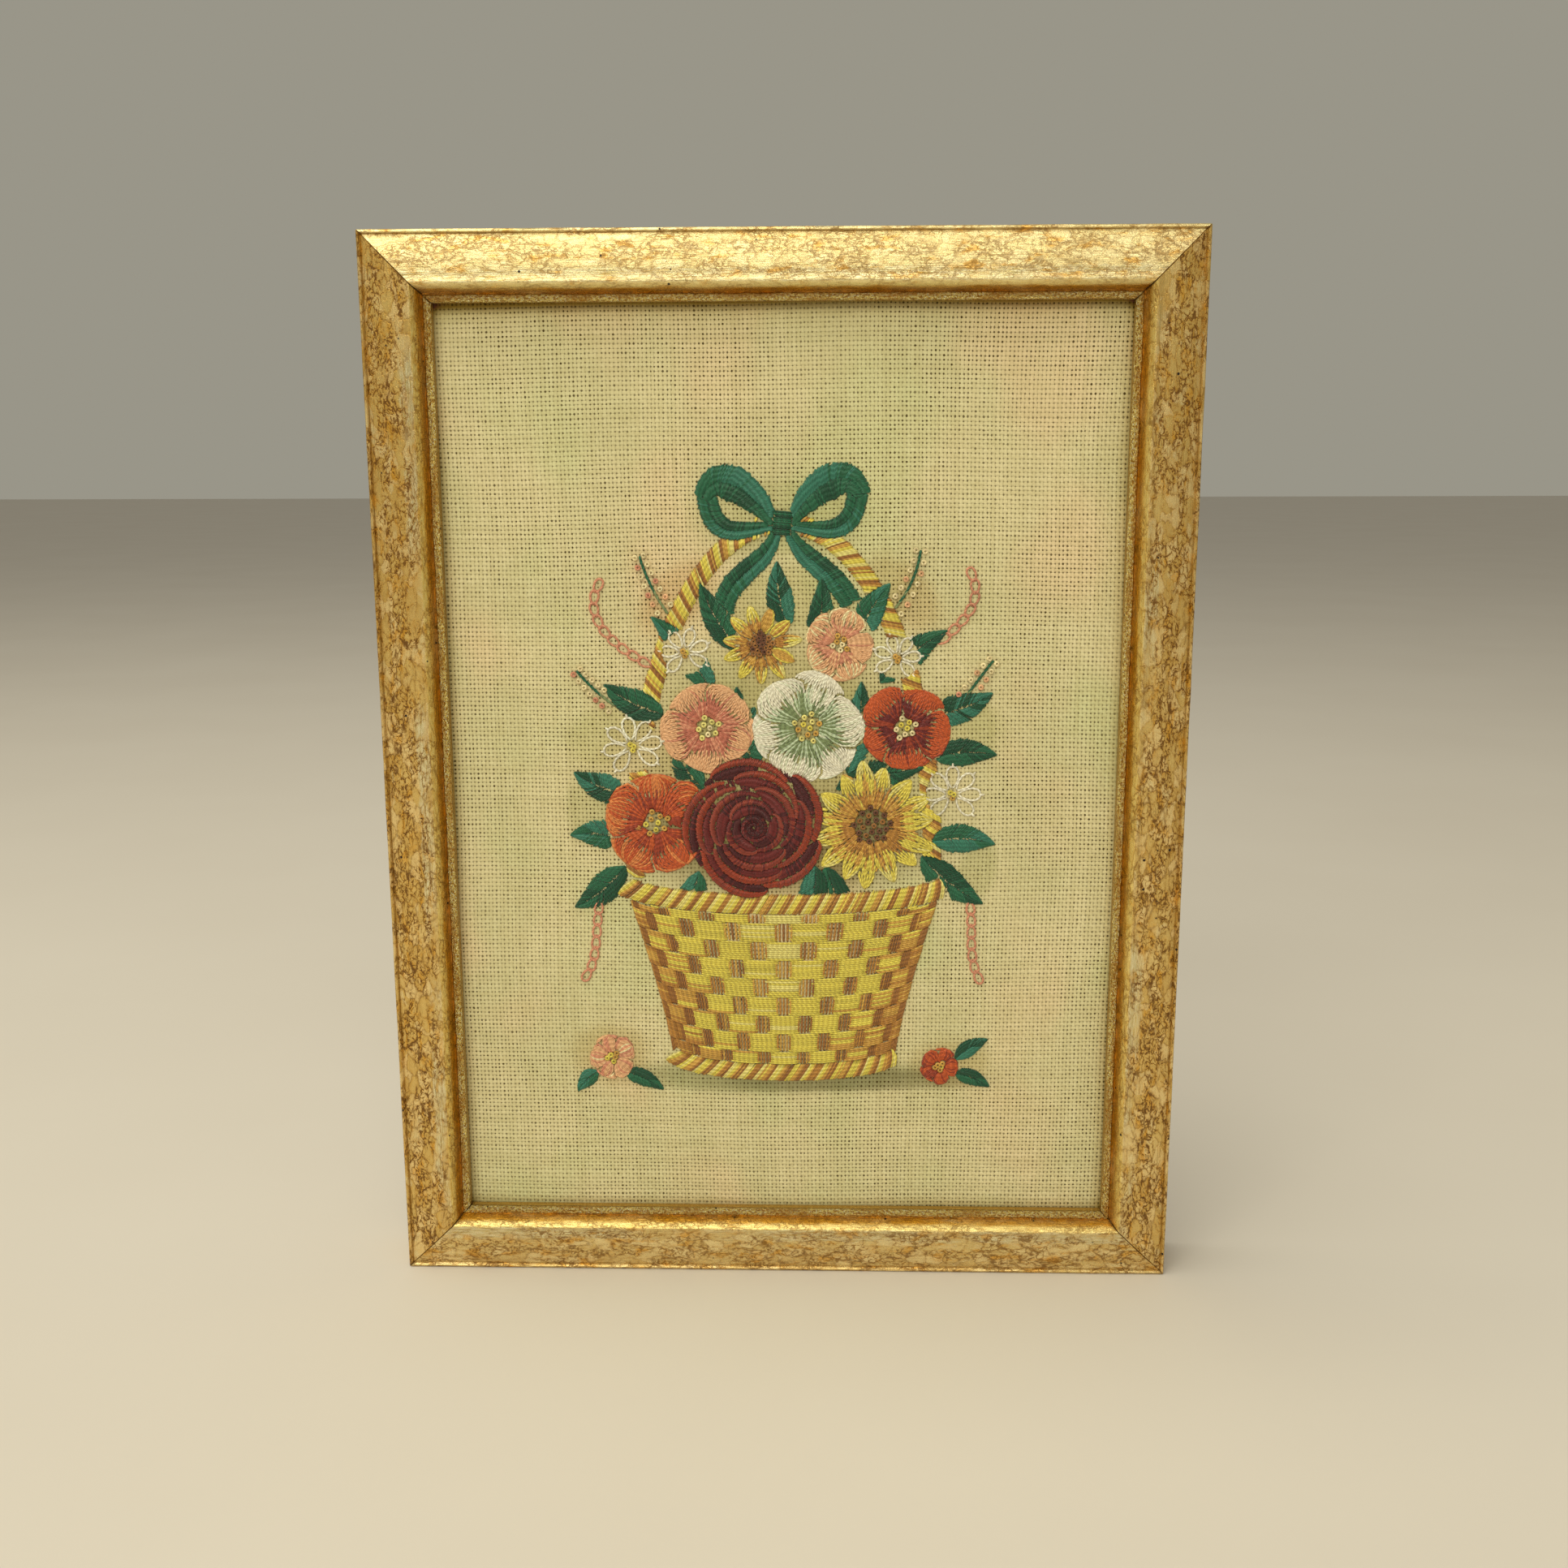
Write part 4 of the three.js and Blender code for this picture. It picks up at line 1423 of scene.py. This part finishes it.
def strand_arrays(strands):
    """Points, faces, colours and UVs of strands that have equally many stations, as closed tubes."""
    lines = strand_lines(strands)
    rings = tube_rings(lines, np.array([s[2] for s in strands]))
    count, stations = lines.shape[:2]
    index = np.arange(count * stations * STRAND_SIDES).reshape(count, stations, STRAND_SIDES)
    walls = wall_corners(index, np.roll(index, -1, axis=2)).reshape(-1, 4)
    faces = walls.tolist() + index[:, 0, ::-1].tolist() + index[:, -1].tolist()

    steps = np.linalg.norm(np.diff(lines, axis=1), axis=-1)
    reach = np.concatenate([np.zeros((count, 1)), np.cumsum(steps, axis=1)], axis=1)
    along = np.repeat(reach[..., None], STRAND_SIDES, axis=2)
    about = np.broadcast_to(np.arange(STRAND_SIDES) / STRAND_SIDES, along.shape)
    here = np.stack([along, about], axis=-1)
    wall_uv = wall_corners(here, here + np.array([0, 1 / STRAND_SIDES]))
    uvs = np.concatenate([part.reshape(-1, 2) for part in (wall_uv, here[:, 0, ::-1], here[:, -1])])
    colours = np.repeat(np.array([s[3] for s in strands]), stations * STRAND_SIDES, axis=0)
    return rings.reshape(-1, 3), faces, colours, uvs


def sewn_piece(name, strands, material):
    """One mesh of all the strands of a group."""
    points, faces, colours, uvs = [], [], [], []
    for stations in sorted({len(s[1]) for s in strands}):
        part = strand_arrays([s for s in strands if len(s[1]) == stations])
        shift = sum(len(p) for p in points)
        points.append(part[0])
        faces += [[i + shift for i in face] for face in part[1]]
        colours.append(part[2])
        uvs.append(part[3])
    mesh = bpy.data.meshes.new(name)
    mesh.from_pydata((np.concatenate(points) * MM).tolist(), [], faces)
    strand_uv = np.concatenate(uvs).astype(np.float32)
    mesh.uv_layers.new(name="strand").data.foreach_set("uv", strand_uv.ravel())
    write_colour(mesh, "thread_colour", np.concatenate(colours))
    shade_smooth(mesh)
    return new_piece(name, mesh, material)


def thread_finish():
    cotton = Finish("stranded_cotton")
    place = cotton.uv("strand")
    along, about = cotton.part(place, "X"), cotton.part(place, "Y")
    twist = cotton.times(along, 2 * math.pi / TWIST_PITCH)
    twist = cotton.maths("SINE", cotton.sum(twist, cotton.times(about, 4 * math.pi)))
    fibres = cotton.noise(place, (1.2, 14.0, 1), detail=3)
    colour = cotton.attribute("thread_colour", "Color")
    # Painted shade darkens the grooves of the twist
    twist_groove_shade = cotton.spread(twist, -1, 0.2, 0.30, 0.0)
    on_fibres = cotton.spread(fibres, 0.35, 0.7, 0.0, 0.22)
    colour = cotton.mix(twist_groove_shade, colour, (0.35, 0.3, 0.24, 1), "MULTIPLY")
    colour = cotton.mix(on_fibres, colour, (1.25, 1.2, 1.1, 1), "MULTIPLY")
    relief = cotton.bump(twist, 0.05)
    relief = cotton.bump(fibres, 0.03, normal=relief)
    cotton.surface(Base_Color=colour, Roughness=0.5, Normal=relief)
    return cotton.surface(Sheen_Weight=0.25, Sheen_Roughness=0.4, Specular_IOR_Level=0.45)


def make_needlework():
    work = Needlework()
    plan_flowers(work)
    plan_basket(work)
    plan_leaves(work)
    plan_handle(work)
    plan_sprays(work)
    material = thread_finish()
    return [sewn_piece("stitches_" + group, strands, material) for group, strands in work.groups.items()]


make_camera()
make_stage()
make_rails(gilding_finish(), bare_wood_finish())
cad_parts["mount_board"].data.materials[0] = card_finish()
stitches = make_needlework()
cloth = make_cloth(linen_finish(), PRINTED_TINTS)
